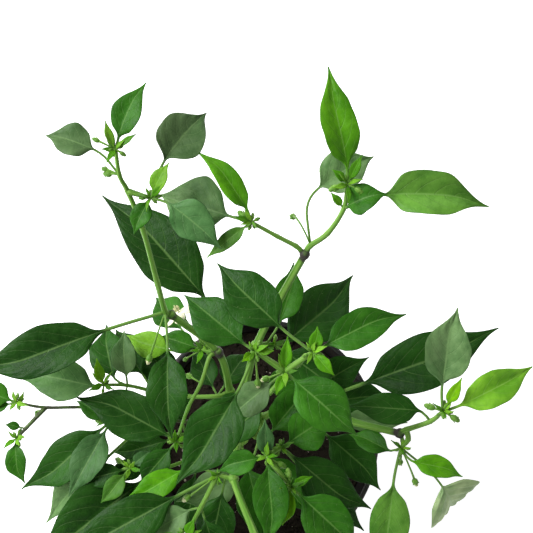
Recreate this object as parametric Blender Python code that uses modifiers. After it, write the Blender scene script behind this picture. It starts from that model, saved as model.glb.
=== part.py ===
"""A potted chilli pepper plant: a round nursery pot, its soil, a forking main stem,
leafy shoots and one open flower.

The plant is set out the way it grows. Nodes are named points, a stem runs through a
string of them, and every leaf and flower bud grows from a node with its own heading.
Tables are in millimetres and degrees. Headings turn anticlockwise from +X.
"""

import math
from collections import namedtuple

import bmesh
import bpy
from mathutils import Matrix, Vector, noise

MM = 0.001
GAP = 0.3  # clearance between pieces that touch, mm

# Pot: a thin tapered nursery pot with a lip, standing on a foot ring.
POT_HEIGHT = 130.0
POT_RIM_RADIUS = 85.0
POT_BASE_RADIUS = 60.0
POT_WALL = 1.8
LIP_HEIGHT = 13.0
LIP_OUT = 2.6
FOOT_HEIGHT = 3.0
HUB_RADIUS = 18.0
DRAIN_HOLES = 8
DRAIN_RADIUS = 5.0
DRAIN_RING = 36.0
ROUND_STEPS = 36

# Soil
SOIL_TOP = 114.0
SOIL_RELIEF = 1.6
SOCKET_DEPTH = 22.0
SOCKET_GAP = 0.45  # round the stem, mm

# Leaves
LEAF_THICKNESS = 0.8
LEAF_FOLD = 16.0  # each half of a blade rises this far above its midrib, degrees
LEAF_BELLY = 0.42  # where along the blade it is widest
LEAF_FRONT = 1.1  # how slowly the blade widens from its base
LEAF_WEDGE = 0.20  # share of the blade that tapers into its stalk
LEAF_TAIL = 0.38  # share of the blade that is drawn out into its tip
LEAF_TAIL_CUT = 0.45  # how far that narrows the tip
LINE_STEP = 2.0  # step for following a curved petiole and midrib, mm

# Stems
TRUNK_STEPS = 2  # straight pieces between two nodes of the main stem
SHOOT_STEPS = 1

Leaf = namedtuple("Leaf", "node heading rise petiole blade width droop turn roll")
Bud = namedtuple("Bud", "node heading rise length curl size")


def leaf(node, heading, rise, petiole, blade, width, droop=30, turn=0, roll=0):
    """A leaf: its stalk leaves the node with this heading and rise, the blade turns by
    turn, falls by droop from its base to its tip, and rolls about its midrib."""
    return Leaf(node, heading, rise, petiole, blade, width, droop, turn, roll)


def bud(node, heading, rise, length, curl=60, size=2.3):
    """A flower bud on a thin stalk that curls over by curl degrees."""
    return Bud(node, heading, rise, length, curl, size)


# --- The main stem ---------------------------------------------------------------

STEM_NODES = {
    "root": (0, 0, SOIL_TOP - SOCKET_DEPTH + GAP),
    "sleeve": (0, 0, SOIL_TOP - 6),
    "collar": (0, 0, SOIL_TOP + 5),
    "low": (-3, 1, 140),
    "mid": (-8, 3, 163),
    "crotch": (-14, 5, 185),
    "n1": (-10, 30, 212),
    "n2": (-3, 53, 235),
    "n3": (11, 77, 262),
    "north": (24, 97, 285),
    "w1": (-20, 27, 205),
    "west": (-27, 50, 225),
    "north_west": (-53, 69, 250),
    "e0": (0, 11, 195),
    "e1": (22, 18, 210),
    "e2": (53, 8, 232),
    "east": (79, 1, 248),
    "s1": (-16, -9, 200),
    "s2": (-17, -26, 213),
    "s3": (-4, -54, 240),
    "south": (4, -74, 258),
}
# Each run of the main stem: its nodes, and its radius at the first and the last.
STEM_RUNS = [
    (["root", "sleeve", "collar", "low", "mid", "crotch"], 3.9, 3.3),
    (["crotch", "n1", "n2", "n3", "north"], 2.5, 2.0),
    (["crotch", "w1", "west", "north_west"], 2.4, 2.1),
    (["crotch", "e0", "e1", "e2", "east"], 2.4, 2.0),
    (["crotch", "s1", "s2", "s3", "south"], 2.3, 1.9),
]
KNUCKLES = {
    "low": 4.8, "mid": 4.6, "crotch": 4.4, "n1": 3.4, "n2": 3.4, "north": 3.0, "w1": 3.3, "west": 3.4,
    "north_west": 3.0, "e0": 3.3, "e1": 3.3, "east": 3.0, "s2": 3.3, "south": 3.0,
}

# --- The leafy shoots --------------------------------------------------------------
# fork: the knuckle that the shoot grows from. stems: each is a string of node letters.
# radius: of the stem at its start and at its tips.

SHOOTS = {
    "shoot_north_west": dict(
        fork="north_west",
        nodes=dict(
            a=(-56, 70, 254), b=(-59, 84, 268), c=(-64, 109, 295), d=(-70, 125, 310),
            e=(-73, 131, 318), f=(-74, 142, 326), g=(-58, 122, 308),
        ),
        stems=["abcdef", "dg"],
        radius=(1.8, 1.0),
        tint="leaf_young",
        leaves=[
            leaf("a", 198, 8, 34, 84, 27, droop=22, turn=3),
            leaf("a", 277, 9, 23, 51, 23, droop=35, turn=-5),
            leaf("f", 71, 30, 5, 33, 15, droop=30, turn=-6),
            leaf("f", 112, 45, 2, 14, 4, droop=10),
            leaf("f", 28, 30, 3, 11, 3, droop=20),
            leaf("e", 129, 18, 18, 27, 17, droop=30, turn=32),
            leaf("g", 58, 40, 3, 19, 9, droop=30),
            leaf("g", 74, 12, 20, 38, 26, droop=35, turn=-20),
            leaf("g", 244, 10, 2, 20, 11, droop=40),
            leaf("g", 346, 2, 9, 38, 20, droop=22, turn=-24),
        ],
        buds=[
            bud("a", 250, -5, 27, curl=20),
            bud("f", 155, 20, 9, curl=20, size=1.6),
            bud("e", 165, 20, 5),
            bud("e", 152, 14, 8, curl=50, size=1.8),
        ],
    ),
    "shoot_west_fork": dict(
        fork="west",
        nodes=dict(a=(-33, 51, 221), b=(-37, 52, 218)),
        stems=["ab"],
        radius=(1.5, 1.2),
        tint="leaf_dark",
        leaves=[
            leaf("a", 85, 14, 31, 96, 36, droop=22, turn=47),
            leaf("b", 138, -24, 22, 36, 22, droop=10, turn=-10),
            leaf("b", 185, -2, 20, 32, 17, droop=20, turn=-20),
            leaf("b", 161, 2, 4, 26, 14, droop=15),
        ],
        buds=[bud("b", 205, 5, 13, size=1.7)],
    ),
    "shoot_north": dict(
        fork="north",
        nodes=dict(a=(19, 101, 288), b=(9, 105, 293), c=(-5, 111, 300)),
        stems=["abc"],
        radius=(1.5, 1.0),
        tint="leaf_young",
        leaves=[
            leaf("c", 109, 33, 6, 43, 12, droop=35, turn=17),
            leaf("c", 161, -10, 12, 47, 31, droop=15, turn=-1),
            leaf("c", 217, 2, 3, 29, 8, droop=40),
            leaf("c", 172, 40, 2, 9, 3, droop=20),
        ],
        buds=[bud("c", 140, 45, 4)],
    ),
    "shoot_north_east": dict(
        fork="north",
        nodes=dict(a=(27, 101, 289), b=(36, 106, 296), c=(44, 117, 305), d=(45, 127, 315)),
        stems=["abcd"],
        radius=(1.8, 1.1),
        tint="leaf_young",
        leaves=[
            leaf("d", 91, 40, 7, 56, 18, droop=45, turn=14),
            leaf("c", 22, 12, 20, 59, 25, droop=28, turn=-24),
            leaf("c", 14, 60, 3, 24, 16, droop=65),
            leaf("a", 97, 10, 33, 37, 23, droop=20, turn=-63),
            leaf("d", 62, 45, 3, 15, 5, droop=30),
            leaf("d", 140, 40, 2, 10, 4, droop=30),
            leaf("c", 137, 40, 2, 10, 4, droop=30),
        ],
        buds=[bud("d", 200, 50, 5), bud("d", 330, 50, 5), bud("a", 116, 50, 26, curl=130)],
    ),
    "shoot_crown": dict(
        fork="n1",
        nodes=dict(
            a=(-3, 26, 217), b=(5, 24, 245), c=(13, 33, 285), d=(-3, 43, 292), e=(27, 42, 296),
        ),
        stems=["abc", "cd", "ce"],
        radius=(2.0, 1.2),
        tint="leaf_green",
        leaves=[
            leaf("d", 148, 5, 6, 45, 24, droop=28, turn=-8),
            leaf("d", 249, 8, 23, 56, 27, droop=22, turn=-9),
            leaf("d", 355, 30, 2, 9, 4, droop=20),
            leaf("d", 222, 30, 2, 8, 4, droop=20),
            leaf("c", 87, 40, 2, 18, 6, droop=40),
            leaf("c", 246, 20, 2, 12, 5, droop=30),
            leaf("c", 315, 12, 5, 47, 25, droop=40, turn=4),
            leaf("c", 218, -10, 9, 32, 17, droop=25),
            leaf("b", 246, -10, 8, 40, 20, droop=15, turn=-30),
            leaf("e", 75, 45, 2, 13, 7, droop=40),
            leaf("e", 309, 25, 2, 15, 7, droop=40),
            leaf("e", 26, 15, 6, 48, 19, droop=30),
            leaf("e", 145, 12, 20, 50, 26, droop=28, turn=-8),
            leaf("a", 213, -6, 4, 34, 18, droop=10),
            leaf("a", 20, -16, 5, 32, 18, droop=8),
        ],
        buds=[bud("d", 275, 10, 16), bud("c", 200, 15, 10), bud("c", 30, 45, 5)],
    ),
    "shoot_east": dict(
        fork="east",
        nodes=dict(
            a=(82, 3, 252), b=(94, 7.5, 261), c=(99, 12.5, 270), h=(83.5, -2.5, 249), f=(80, -7, 244),
        ),
        stems=["abc", "ahf"],
        radius=(1.8, 1.1),
        tint="leaf_young",
        leaves=[
            leaf("c", 18, 15, 8, 50, 18, droop=35, turn=8),
            leaf("c", 97, 25, 14, 45, 25, droop=35, turn=-14),
            leaf("c", 66, 45, 6, 18, 6, droop=25),
            leaf("b", 130, 15, 7, 43, 17, droop=35, turn=46),
            leaf("f", 255, -5, 19, 54, 22, droop=25, turn=8),
            leaf("f", 300, 10, 9, 33, 12, droop=40, turn=49),
            leaf("f", 324, -26, 38, 31, 38, droop=62, turn=-16),
            leaf("f", 205, -22, 6, 29, 13, droop=20, turn=-54),
        ],
        buds=[
            bud("f", 275, -10, 10), bud("f", 296, -10, 22, curl=30),
            bud("c", 330, 40, 5), bud("c", 160, 45, 5),
        ],
    ),
    "shoot_east_low": dict(
        fork="e1",
        nodes=dict(a=(24, 17, 206), b=(28, 16, 203)),
        stems=["ab"],
        radius=(1.6, 1.3),
        tint="leaf_dark",
        leaves=[
            leaf("a", 20, 21, 42, 92, 32, droop=28, turn=-1),
            leaf("b", 306, 5, 20, 49, 25, droop=25, turn=14),
            leaf("b", 345, 5, 22, 44, 14, droop=20, turn=8),
            leaf("a", 62, 12, 12, 44, 21, droop=20, turn=-32),
            leaf("b", 20, -6, 14, 46, 20, droop=10, turn=-12),
        ],
        buds=[],
    ),
    "shoot_north_low": dict(
        fork="n2",
        nodes=dict(a=(3, 54, 232), b=(8, 54, 229)),
        stems=["ab"],
        radius=(1.6, 1.3),
        tint="leaf_dark",
        leaves=[
            leaf("b", 13, -10, 5, 69, 33, droop=12, turn=28),
            leaf("a", 55, 8, 14, 40, 18, droop=15, turn=16),
            leaf("b", 325, -4, 6, 44, 22, droop=10),
        ],
        buds=[],
    ),
    "shoot_middle": dict(
        fork="e0",
        nodes=dict(a=(0, 4, 199), b=(3, -12, 236), c=(17, -29, 236), d=(12, -7, 229), e=(1, -4, 212)),
        stems=["aeb", "bc", "bd"],
        radius=(1.8, 1.1),
        tint="leaf_green",
        leaves=[
            leaf("b", 276, 12, 4, 47, 20, droop=30),
            leaf("b", 192, 8, 4, 27, 14, droop=40),
            leaf("b", 94, 40, 2, 22, 10, droop=30),
            leaf("b", 110, 35, 2, 14, 5, droop=30),
            leaf("d", 33, 6, 4, 32, 24, droop=14),
            leaf("d", 321, -10, 7, 62, 25, droop=15),
            leaf("d", 314, -18, 14, 64, 24, droop=10),
            leaf("c", 29, 35, 2, 13, 5, droop=40),
            leaf("c", 262, 10, 2, 21, 8, droop=40),
            leaf("c", 318, 0, 6, 49, 26, droop=25),
            leaf("a", 254, 2, 32, 43, 22, droop=8, turn=-46),
            leaf("e", 50, 14, 8, 40, 22, droop=20),
            leaf("e", 300, -8, 8, 46, 22, droop=10),
        ],
        buds=[bud("c", 100, 40, 5), bud("b", 330, 30, 8)],
    ),
    "shoot_west": dict(
        fork="w1",
        nodes=dict(a=(-28, 24, 206), b=(-48, 24, 206), c=(-68, 27, 211), d=(-83, 30, 218), e=(-96, 30, 225)),
        stems=["abcde"],
        radius=(1.6, 0.9),
        tint="leaf_green",
        leaves=[
            leaf("d", 95, 25, 5, 30, 15, droop=35),
            leaf("d", 160, -14, 10, 40, 24, droop=12, turn=-52),
            leaf("e", 190, 8, 4, 50, 25, droop=30, turn=-22),
            leaf("e", 106, 40, 2, 16, 6, droop=30),
            leaf("c", 125, -8, 12, 40, 24, droop=20),
            leaf("b", 132, -5, 10, 39, 22, droop=20),
            leaf("a", 60, -32, 8, 36, 19, droop=0),
            leaf("a", 118, -14, 6, 32, 17, droop=10),
        ],
        buds=[bud("d", 262, 40, 4, size=1.7)],
    ),
    "shoot_far_west": dict(
        fork="low",
        nodes=dict(
            a=(-12, 2, 141), b=(-60, 10, 176), c=(-106, 17, 195), d=(-137, 17, 204), e=(-154, 20, 208),
            f=(-149, 4, 203), g=(-155, -2, 200),
        ),
        stems=["abcde", "dfg"],
        radius=(1.5, 0.8),
        tint="leaf_green",
        leaves=[
            leaf("e", 160, 15, 3, 30, 16, droop=35),
            leaf("e", 192, 5, 4, 18, 8, droop=30),
            leaf("g", 262, 5, 2, 28, 13, droop=40, turn=14),
            leaf("f", 165, 25, 3, 10, 5, droop=30),
        ],
        buds=[bud("d", 205, -5, 8)],
    ),
    "shoot_south_west": dict(
        fork="mid",
        nodes=dict(a=(-18, 2, 164), b=(-50, 0, 182), c=(-80, 3, 195), d=(-95, 9, 203)),
        stems=["abcd"],
        radius=(1.6, 1.0),
        tint="leaf_dark",
        leaves=[
            leaf("d", 243, 12, 6, 47, 21, droop=25),
            leaf("d", 221, -2, 6, 68, 25, droop=20),
            leaf("c", 221, -15, 23, 71, 24, droop=15),
            leaf("d", 150, 10, 3, 24, 11, droop=30),
            leaf("b", 105, 10, 8, 32, 18, droop=30),
            leaf("b", 196, -4, 12, 40, 20, droop=10),
        ],
        buds=[bud("d", 180, 25, 6)],
    ),
    "shoot_hanging": dict(
        fork="west",
        nodes=dict(a=(-32, 46, 228), b=(-37, 31, 224), c=(-45, 16, 220), d=(-52, -4, 216)),
        stems=["abcd"],
        radius=(1.3, 1.0),
        tint="leaf_dark",
        leaves=[
            leaf("d", 144, 11, 5, 63, 28, droop=14, turn=8),
            leaf("d", 228, -5, 4, 34, 16, droop=30),
        ],
        buds=[bud("b", 150, 10, 8)],
    ),
    "shoot_south_west_low": dict(
        fork="mid",
        nodes=dict(a=(-14, -6, 165), b=(-42, -14, 182), c=(-68, -22, 196), d=(-82, -20, 204)),
        stems=["abcd"],
        radius=(1.5, 1.0),
        tint="leaf_dark",
        leaves=[
            leaf("c", 220, 5, 8, 84, 38, droop=20, turn=-2),
            leaf("d", 233, 15, 4, 24, 12, droop=40),
            leaf("d", 40, 20, 3, 14, 8, droop=40),
            leaf("d", 195, 10, 4, 30, 14, droop=30),
            leaf("c", 178, 0, 5, 27, 13, droop=15),
            leaf("b", 262, 0, 10, 44, 20, droop=25),
            leaf("a", 286, 8, 14, 56, 26, droop=12),
        ],
        buds=[bud("d", 150, 20, 7)],
    ),
    "shoot_south_side": dict(
        fork="s2",
        nodes=dict(a=(-22, -25, 213), b=(-27, -24, 214), c=(-36, -42, 220), d=(-44, -57, 228)),
        stems=["ab", "bcd"],
        radius=(1.6, 1.1),
        tint="leaf_dark",
        leaves=[
            leaf("b", 206, 8, 25, 84, 28, droop=25, turn=2),
            leaf("a", 160, 6, 27, 40, 16, droop=20, turn=50),
            leaf("c", 290, -4, 6, 38, 20, droop=20),
            leaf("d", 285, 30, 3, 22, 11, droop=35),
            leaf("d", 195, 25, 3, 20, 10, droop=35),
            leaf("d", 60, 45, 2, 12, 6, droop=35),
            leaf("c", 190, -10, 6, 34, 17, droop=20, turn=20),
            leaf("a", 258, -16, 9, 46, 24, droop=10),
        ],
        buds=[bud("b", 216, 15, 20, curl=30)],
    ),
    "shoot_south_left": dict(
        fork="south",
        nodes=dict(a=(0, -78, 262), b=(-11, -86, 272), c=(-20, -97, 284), d=(-24, -104, 293)),
        stems=["abcd"],
        radius=(1.8, 1.1),
        tint="leaf_green",
        leaves=[
            leaf("d", 262, 30, 6, 44, 19, droop=40, turn=-10),
            leaf("d", 205, 20, 8, 40, 17, droop=35),
            leaf("c", 160, 10, 12, 46, 22, droop=35, turn=15),
            leaf("a", 220, -5, 26, 62, 28, droop=25),
            leaf("d", 320, 45, 2, 15, 6, droop=30),
            leaf("d", 120, 45, 2, 12, 4, droop=30),
        ],
        buds=[bud("d", 100, 40, 6), bud("b", 250, 10, 14)],
    ),
    "shoot_south_right": dict(
        fork="south",
        nodes=dict(a=(8, -78, 262), b=(19, -84, 270), c=(33, -88, 280), d=(42, -95, 288)),
        stems=["abcd"],
        radius=(1.8, 1.1),
        tint="leaf_green",
        leaves=[
            leaf("d", 285, 28, 6, 50, 21, droop=40),
            leaf("d", 345, 18, 8, 44, 19, droop=35, turn=10),
            leaf("c", 30, 10, 14, 42, 20, droop=35),
            leaf("a", 290, -5, 28, 60, 28, droop=25, turn=8),
            leaf("d", 60, 45, 2, 16, 6, droop=30),
            leaf("d", 230, 45, 2, 11, 4, droop=30),
        ],
        buds=[bud("d", 140, 40, 6), bud("c", 270, 10, 12)],
    ),
}

# --- The open flower: its stalk and calyx grow with a shoot, its petals and stamens sit on it.
FLOWER_SHOOT = "shoot_west_fork"
FLOWER_STALK = bud("a", 128, 36, 26, curl=8, size=2.2)
PETALS = 5
PETAL_REACH = 11.0
PETAL_NOTCH = 4.2
PETAL_EYE = 0.9  # radius of the opening at the middle
PETAL_THICKNESS = 0.8
PETAL_CURL = 2.6  # how far the petals' tips bend back

TINTS = {
    "leaf_dark": (0.035, 0.12, 0.03),
    "leaf_green": (0.06, 0.20, 0.035),
    "leaf_young": (0.12, 0.31, 0.03),
    "stem": (0.26, 0.38, 0.13),
    "petal": (0.83, 0.82, 0.62),
    "anther": (0.52, 0.47, 0.20),
    "soil": (0.028, 0.019, 0.014),
    "pot": (0.022, 0.022, 0.024),
}


# --- Shared geometry ---------------------------------------------------------------


def clear_scene():
    for obj in list(bpy.data.objects):
        bpy.data.objects.remove(obj)


def new_collection(name):
    made = bpy.data.collections.new(name)
    bpy.context.scene.collection.children.link(made)
    return made


def object_from_bmesh(name, bm, collection):
    """A new object from a finished bmesh, with its faces pointing out."""
    bmesh.ops.recalc_face_normals(bm, faces=bm.faces[:])
    if bm.calc_volume(signed=True) < 0:
        bmesh.ops.reverse_faces(bm, faces=bm.faces[:])
    mesh = bpy.data.meshes.new(name)
    bm.to_mesh(mesh)
    bm.free()
    obj = bpy.data.objects.new(name, mesh)
    collection.objects.link(obj)
    return obj


def baked(obj):
    """A mesh copy of an object as its curve settings and modifiers make it."""
    bpy.context.view_layer.update()
    evaluated = obj.evaluated_get(bpy.context.evaluated_depsgraph_get())
    return bpy.data.meshes.new_from_object(evaluated)


def material(name, roughness):
    made = bpy.data.materials.new(name)
    made.use_nodes = True
    shader = made.node_tree.nodes["Principled BSDF"]
    shader.inputs["Base Color"].default_value = (*TINTS[name], 1.0)
    shader.inputs["Roughness"].default_value = roughness
    shader.inputs["Metallic"].default_value = 0.0
    made.diffuse_color = (*TINTS[name], 1.0)
    return made


def ease(share):
    """A smooth step from 0 to 1."""
    share = min(1.0, max(0.0, share))
    return share * share * (3.0 - 2.0 * share)


def direction(heading, rise):
    heading, rise = math.radians(heading), math.radians(rise)
    return Vector((
        math.cos(rise) * math.cos(heading),
        math.cos(rise) * math.sin(heading),
        math.sin(rise),
    ))


def smooth_route(points, steps):
    """A Catmull-Rom curve through the points, as a list of points."""
    points = [Vector(p) for p in points]
    ends = [2 * points[0] - points[1], *points, 2 * points[-1] - points[-2]]
    route = []
    for before, start, stop, after in zip(ends, ends[1:], ends[2:], ends[3:]):
        for step in range(steps):
            t = step / steps
            route.append(0.5 * (
                2 * start
                + (stop - before) * t
                + (2 * before - 5 * start + 4 * stop - after) * t * t
                + (3 * start - before - 3 * stop + after) * t * t * t
            ))
    return [*route, points[-1]]


def tube(name, route, start_radius, end_radius, collection, resolution=1):
    """A closed tapering tube along the route, as a mesh. Sizes in mm."""
    curve = bpy.data.curves.new(name, "CURVE")
    curve.dimensions = "3D"
    curve.bevel_depth = MM
    curve.bevel_resolution = resolution
    curve.use_fill_caps = True
    spline = curve.splines.new("POLY")
    spline.points.add(len(route) - 1)
    for index, point in enumerate(route):
        share = index / (len(route) - 1)
        spline.points[index].co = (*(Vector(point) * MM), 1.0)
        spline.points[index].radius = start_radius + (end_radius - start_radius) * share
    drawn = bpy.data.objects.new(name + "_curve", curve)
    collection.objects.link(drawn)
    bm = bmesh.new()
    bm.from_mesh(baked(drawn))
    bmesh.ops.remove_doubles(bm, verts=bm.verts[:], dist=0.00001)
    bpy.data.objects.remove(drawn)
    return object_from_bmesh(name, bm, collection)


def ovoid(name, centre, axis, radius, length, collection, segments=5, rings=4):
    """An egg-shaped solid along an axis. Sizes in mm."""
    bm = bmesh.new()
    bmesh.ops.create_uvsphere(bm, u_segments=segments, v_segments=rings, radius=1.0)
    turn = Vector(axis).to_track_quat("Z", "Y").to_matrix().to_4x4()
    size = Matrix.Diagonal((radius * MM, radius * MM, length * MM / 2, 1.0))
    place = Matrix.Translation(Vector(centre) * MM) @ turn @ size
    bmesh.ops.transform(bm, verts=bm.verts[:], matrix=place)
    return object_from_bmesh(name, bm, collection)


def joined(name, pieces, collection, colour):
    """One solid from overlapping pieces, by a Boolean union. The pieces are removed."""
    others = new_collection(name + "_pieces")
    for piece in pieces[1:]:
        collection.objects.unlink(piece)
        others.objects.link(piece)
    union = pieces[0].modifiers.new("union", "BOOLEAN")
    union.operation = "UNION"
    union.operand_type = "COLLECTION"
    union.collection = others
    union.solver = "EXACT"
    mesh = baked(pieces[0])
    for piece in pieces:
        bpy.data.objects.remove(piece)
    bpy.data.collections.remove(others)
    mesh.materials.clear()
    mesh.materials.append(colour)
    solid = bpy.data.objects.new(name, mesh)
    collection.objects.link(solid)
    return solid


# --- Leaves and buds -----------------------------------------------------------------


def leaf_axes(spec, distance):
    """Forward, left and up of a leaf, this far (mm) along its stalk and midrib."""
    turned = ease((distance - 0.4 * spec.petiole) / (0.6 * spec.petiole + 0.12 * spec.blade))
    along_blade = max(0.0, distance - spec.petiole) / spec.blade
    heading = spec.heading + spec.turn * turned
    forward = direction(heading, spec.rise - spec.droop * along_blade)
    left = direction(heading + 90.0, 0.0)
    up = forward.cross(left)
    roll = math.radians(spec.roll) * turned
    rolled_left = left * math.cos(roll) + up * math.sin(roll)
    return forward, rolled_left, forward.cross(rolled_left)


def leaf_line(start, spec, distances):
    """The centre, left and up of a leaf at each of these distances (mm) from its root."""
    point = Vector(start)
    reached = 0.0
    frames = []
    for distance in distances:
        while reached < distance - 1e-6:
            step = min(LINE_STEP, distance - reached)
            point = point + leaf_axes(spec, reached + step / 2)[0] * step
            reached += step
        _, left, up = leaf_axes(spec, distance)
        frames.append((point.copy(), left, up))
    return frames


def blade_shape(share):
    """Half width of a chilli leaf against its widest: egg-shaped, with a drawn-out tip."""
    back = LEAF_FRONT * (1.0 - LEAF_BELLY) / LEAF_BELLY
    share = min(1.0, max(0.0, share))
    oval = (share / LEAF_BELLY) ** LEAF_FRONT * ((1.0 - share) / (1.0 - LEAF_BELLY)) ** back
    tail = ease((share - 1.0 + LEAF_TAIL) / LEAF_TAIL)
    return oval * ease(share / LEAF_WEDGE) * (1.0 - LEAF_TAIL_CUT * tail)


def leaf_rows(spec):
    """Where a leaf's slab has its rows, in mm from its root: few on a small leaf."""
    if spec.blade > 46:
        shares = (0.0, 0.14, 0.3, 0.5, 0.75, 1.0)
    elif spec.blade > 20:
        shares = (0.0, 0.16, 0.4, 0.7, 1.0)
    else:
        shares = (0.0, 0.35, 0.7, 1.0)
    stalk = [0.0, spec.petiole * 0.6] if spec.petiole > 18 else [0.0]
    return stalk + [spec.petiole + share * spec.blade for share in shares]


def make_leaf(name, start, spec, collection):
    """A leaf as one thin solid: stalk and blade are a flat slab bent along the midrib."""
    distances = leaf_rows(spec)
    frames = leaf_line(start, spec, distances)
    rows = len(distances) - 1
    bm = bmesh.new()
    bmesh.ops.create_grid(bm, x_segments=rows, y_segments=2, size=0.5)
    bmesh.ops.triangulate(bm, faces=bm.faces[:], quad_method="FIXED")
    bmesh.ops.solidify(bm, geom=bm.faces[:], thickness=1.0)
    middle = sum(vertex.co.z for vertex in bm.verts) / len(bm.verts)
    stalk_radius = 0.45 + 0.007 * spec.blade
    for vertex in bm.verts:
        row = round((vertex.co.x + 0.5) * rows)
        across = round(vertex.co.y * 2)
        layer = 1.0 if vertex.co.z > middle else -1.0
        centre, left, up = frames[row]
        share = (distances[row] - spec.petiole) / spec.blade
        blade = ease(share / 0.12)
        half_width = max(0.45, stalk_radius * (1.0 - 0.6 * blade) + spec.width / 2 * blade_shape(share))
        half_depth = stalk_radius * (1.0 - blade) + LEAF_THICKNESS / 2 * blade
        fold = math.radians(LEAF_FOLD) * blade
        side = left * (across * math.cos(fold)) + up * (abs(across) * math.sin(fold))
        vertex.co = (centre + side * half_width + up * (layer * half_depth)) * MM
    return object_from_bmesh(name, bm, collection)


def bud_line(start, spec):
    """The route of a bud's stalk, and the direction in which it ends."""
    steps = 2
    point = Vector(start)
    route = [point]
    for step in range(steps):
        forward = direction(spec.heading, spec.rise - spec.curl * (step + 0.5) / steps)
        point = point + forward * (spec.length / steps)
        route.append(point)
    return route, forward


def make_bud(name, start, spec, collection):
    """A flower bud: a thin stalk and a closed calyx, as two overlapping pieces."""
    route, forward = bud_line(start, spec)
    stalk = tube(name + "_stalk", route, 0.55, 0.75, collection, resolution=0)
    centre = route[-1] + forward * spec.size
    head = ovoid(name + "_head", centre, forward, spec.size, spec.size * 3.0, collection, rings=3)
    return [stalk, head]


# --- The pieces ----------------------------------------------------------------------


def stem_pieces(collection):
    pieces = []
    for number, (names, start_radius, end_radius) in enumerate(STEM_RUNS):
        route = smooth_route([STEM_NODES[name] for name in names], TRUNK_STEPS)
        pieces.append(tube(f"run_{number}", route, start_radius, end_radius, collection))
    for name, radius in KNUCKLES.items():
        centre = STEM_NODES[name]
        pieces.append(ovoid("knuckle_" + name, centre, (0, 0, 1), radius, 2 * radius, collection, 6))
    return pieces


def shoot_pieces(name, shoot, collection):
    """The stems, leaves and buds of a shoot. Its stem starts just off its fork's knuckle."""
    fork = Vector(STEM_NODES[shoot["fork"]])
    first = Vector(shoot["nodes"]["a"])
    start = fork + (first - fork).normalized() * (KNUCKLES[shoot["fork"]] + GAP)
    pieces = []
    for number, letters in enumerate(shoot["stems"]):
        points = [shoot["nodes"][letter] for letter in letters]
        if number == 0:
            points = [start, *points]
        route = smooth_route(points, SHOOT_STEPS)
        pieces.append(tube(f"{name}_stem_{number}", route, *shoot["radius"], collection))
    for number, spec in enumerate(shoot["leaves"]):
        pieces.append(make_leaf(f"{name}_leaf_{number}", shoot["nodes"][spec.node], spec, collection))
    buds = list(shoot["buds"])
    if name == FLOWER_SHOOT:
        buds.append(FLOWER_STALK)
    for number, spec in enumerate(buds):
        pieces += make_bud(f"{name}_bud_{number}", shoot["nodes"][spec.node], spec, collection)
    return pieces


def flower_frame():
    """Where the petals sit on the calyx, and the direction that the flower faces."""
    start = SHOOTS[FLOWER_SHOOT]["nodes"][FLOWER_STALK.node]
    route, forward = bud_line(start, FLOWER_STALK)
    return route[-1] + forward * FLOWER_STALK.size * 2.5, forward


def make_petals(collection, colour):
    """The corolla: petals joined at the middle, a slab with a lobed edge, bent back."""
    seat, forward = flower_frame()
    spokes = PETALS * 4
    bm = bmesh.new()
    bmesh.ops.create_grid(bm, x_segments=spokes, y_segments=3, size=0.5)
    for vertex in bm.verts:
        spoke = round((vertex.co.x + 0.5) * spokes)
        lobe = (0.0, 0.55, 1.0, 0.55)[spoke % 4]
        reach = PETAL_NOTCH + (PETAL_REACH - PETAL_NOTCH) * lobe
        radius = PETAL_EYE + (reach - PETAL_EYE) * (vertex.co.y + 0.5)
        angle = math.tau * spoke / spokes
        vertex.co = Vector((math.cos(angle), math.sin(angle), 0.0)) * radius
    bmesh.ops.remove_doubles(bm, verts=bm.verts[:], dist=0.001)
    bmesh.ops.triangulate(bm, faces=bm.faces[:], quad_method="FIXED")
    bmesh.ops.solidify(bm, geom=bm.faces[:], thickness=PETAL_THICKNESS)
    lowest = min(vertex.co.z for vertex in bm.verts)
    turn = forward.to_track_quat("Z", "Y").to_matrix()
    for vertex in bm.verts:
        back = PETAL_CURL * (vertex.co.xy.length / PETAL_REACH) ** 2
        flat = vertex.co + Vector((0.0, 0.0, GAP - lowest - back))
        vertex.co = (seat + turn @ flat) * MM
    petals = object_from_bmesh("petals", bm, collection)
    petals.data.materials.append(colour)
    return petals


def make_stamens(collection, colour):
    """The anthers round the style: a ring of pollen sacs joined at their base."""
    seat, forward = flower_frame()
    turn = forward.to_track_quat("Z", "Y").to_matrix()
    base = seat + forward * (PETAL_THICKNESS + 2 * GAP)
    pieces = [ovoid("style", base + forward * 2.6, forward, 0.9, 5.2, collection)]
    for number in range(PETALS):
        angle = math.tau * number / PETALS
        out = turn @ Vector((math.cos(angle), math.sin(angle), 0.0))
        pieces.append(ovoid(f"anther_{number}", base + forward * 2.4 + out * 1.1, forward, 0.8, 3.0, collection))
    return joined("stamens", pieces, collection, colour)


def turned(name, profile, collection):
    """A solid turned about Z from a profile of (radius, height) in mm. The profile starts
    and ends on the axis, and runs down its outer side."""
    bm = bmesh.new()
    points = [bm.verts.new((radius * MM, 0.0, height * MM)) for radius, height in profile]
    for start, stop in zip(points, points[1:]):
        bm.edges.new((start, stop))
    mesh = bpy.data.meshes.new(name)
    bm.to_mesh(mesh)
    bm.free()
    obj = bpy.data.objects.new(name, mesh)
    collection.objects.link(obj)
    screw = obj.modifiers.new("turn", "SCREW")
    screw.steps = ROUND_STEPS
    screw.render_steps = ROUND_STEPS
    screw.use_merge_vertices = True
    screw.merge_threshold = 0.00001
    return obj


def pot_outer_radius(height):
    """Radius of the pot's outside wall at this height, below its lip."""
    return POT_BASE_RADIUS + (POT_RIM_RADIUS - LIP_OUT - POT_BASE_RADIUS) * height / POT_HEIGHT


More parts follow.
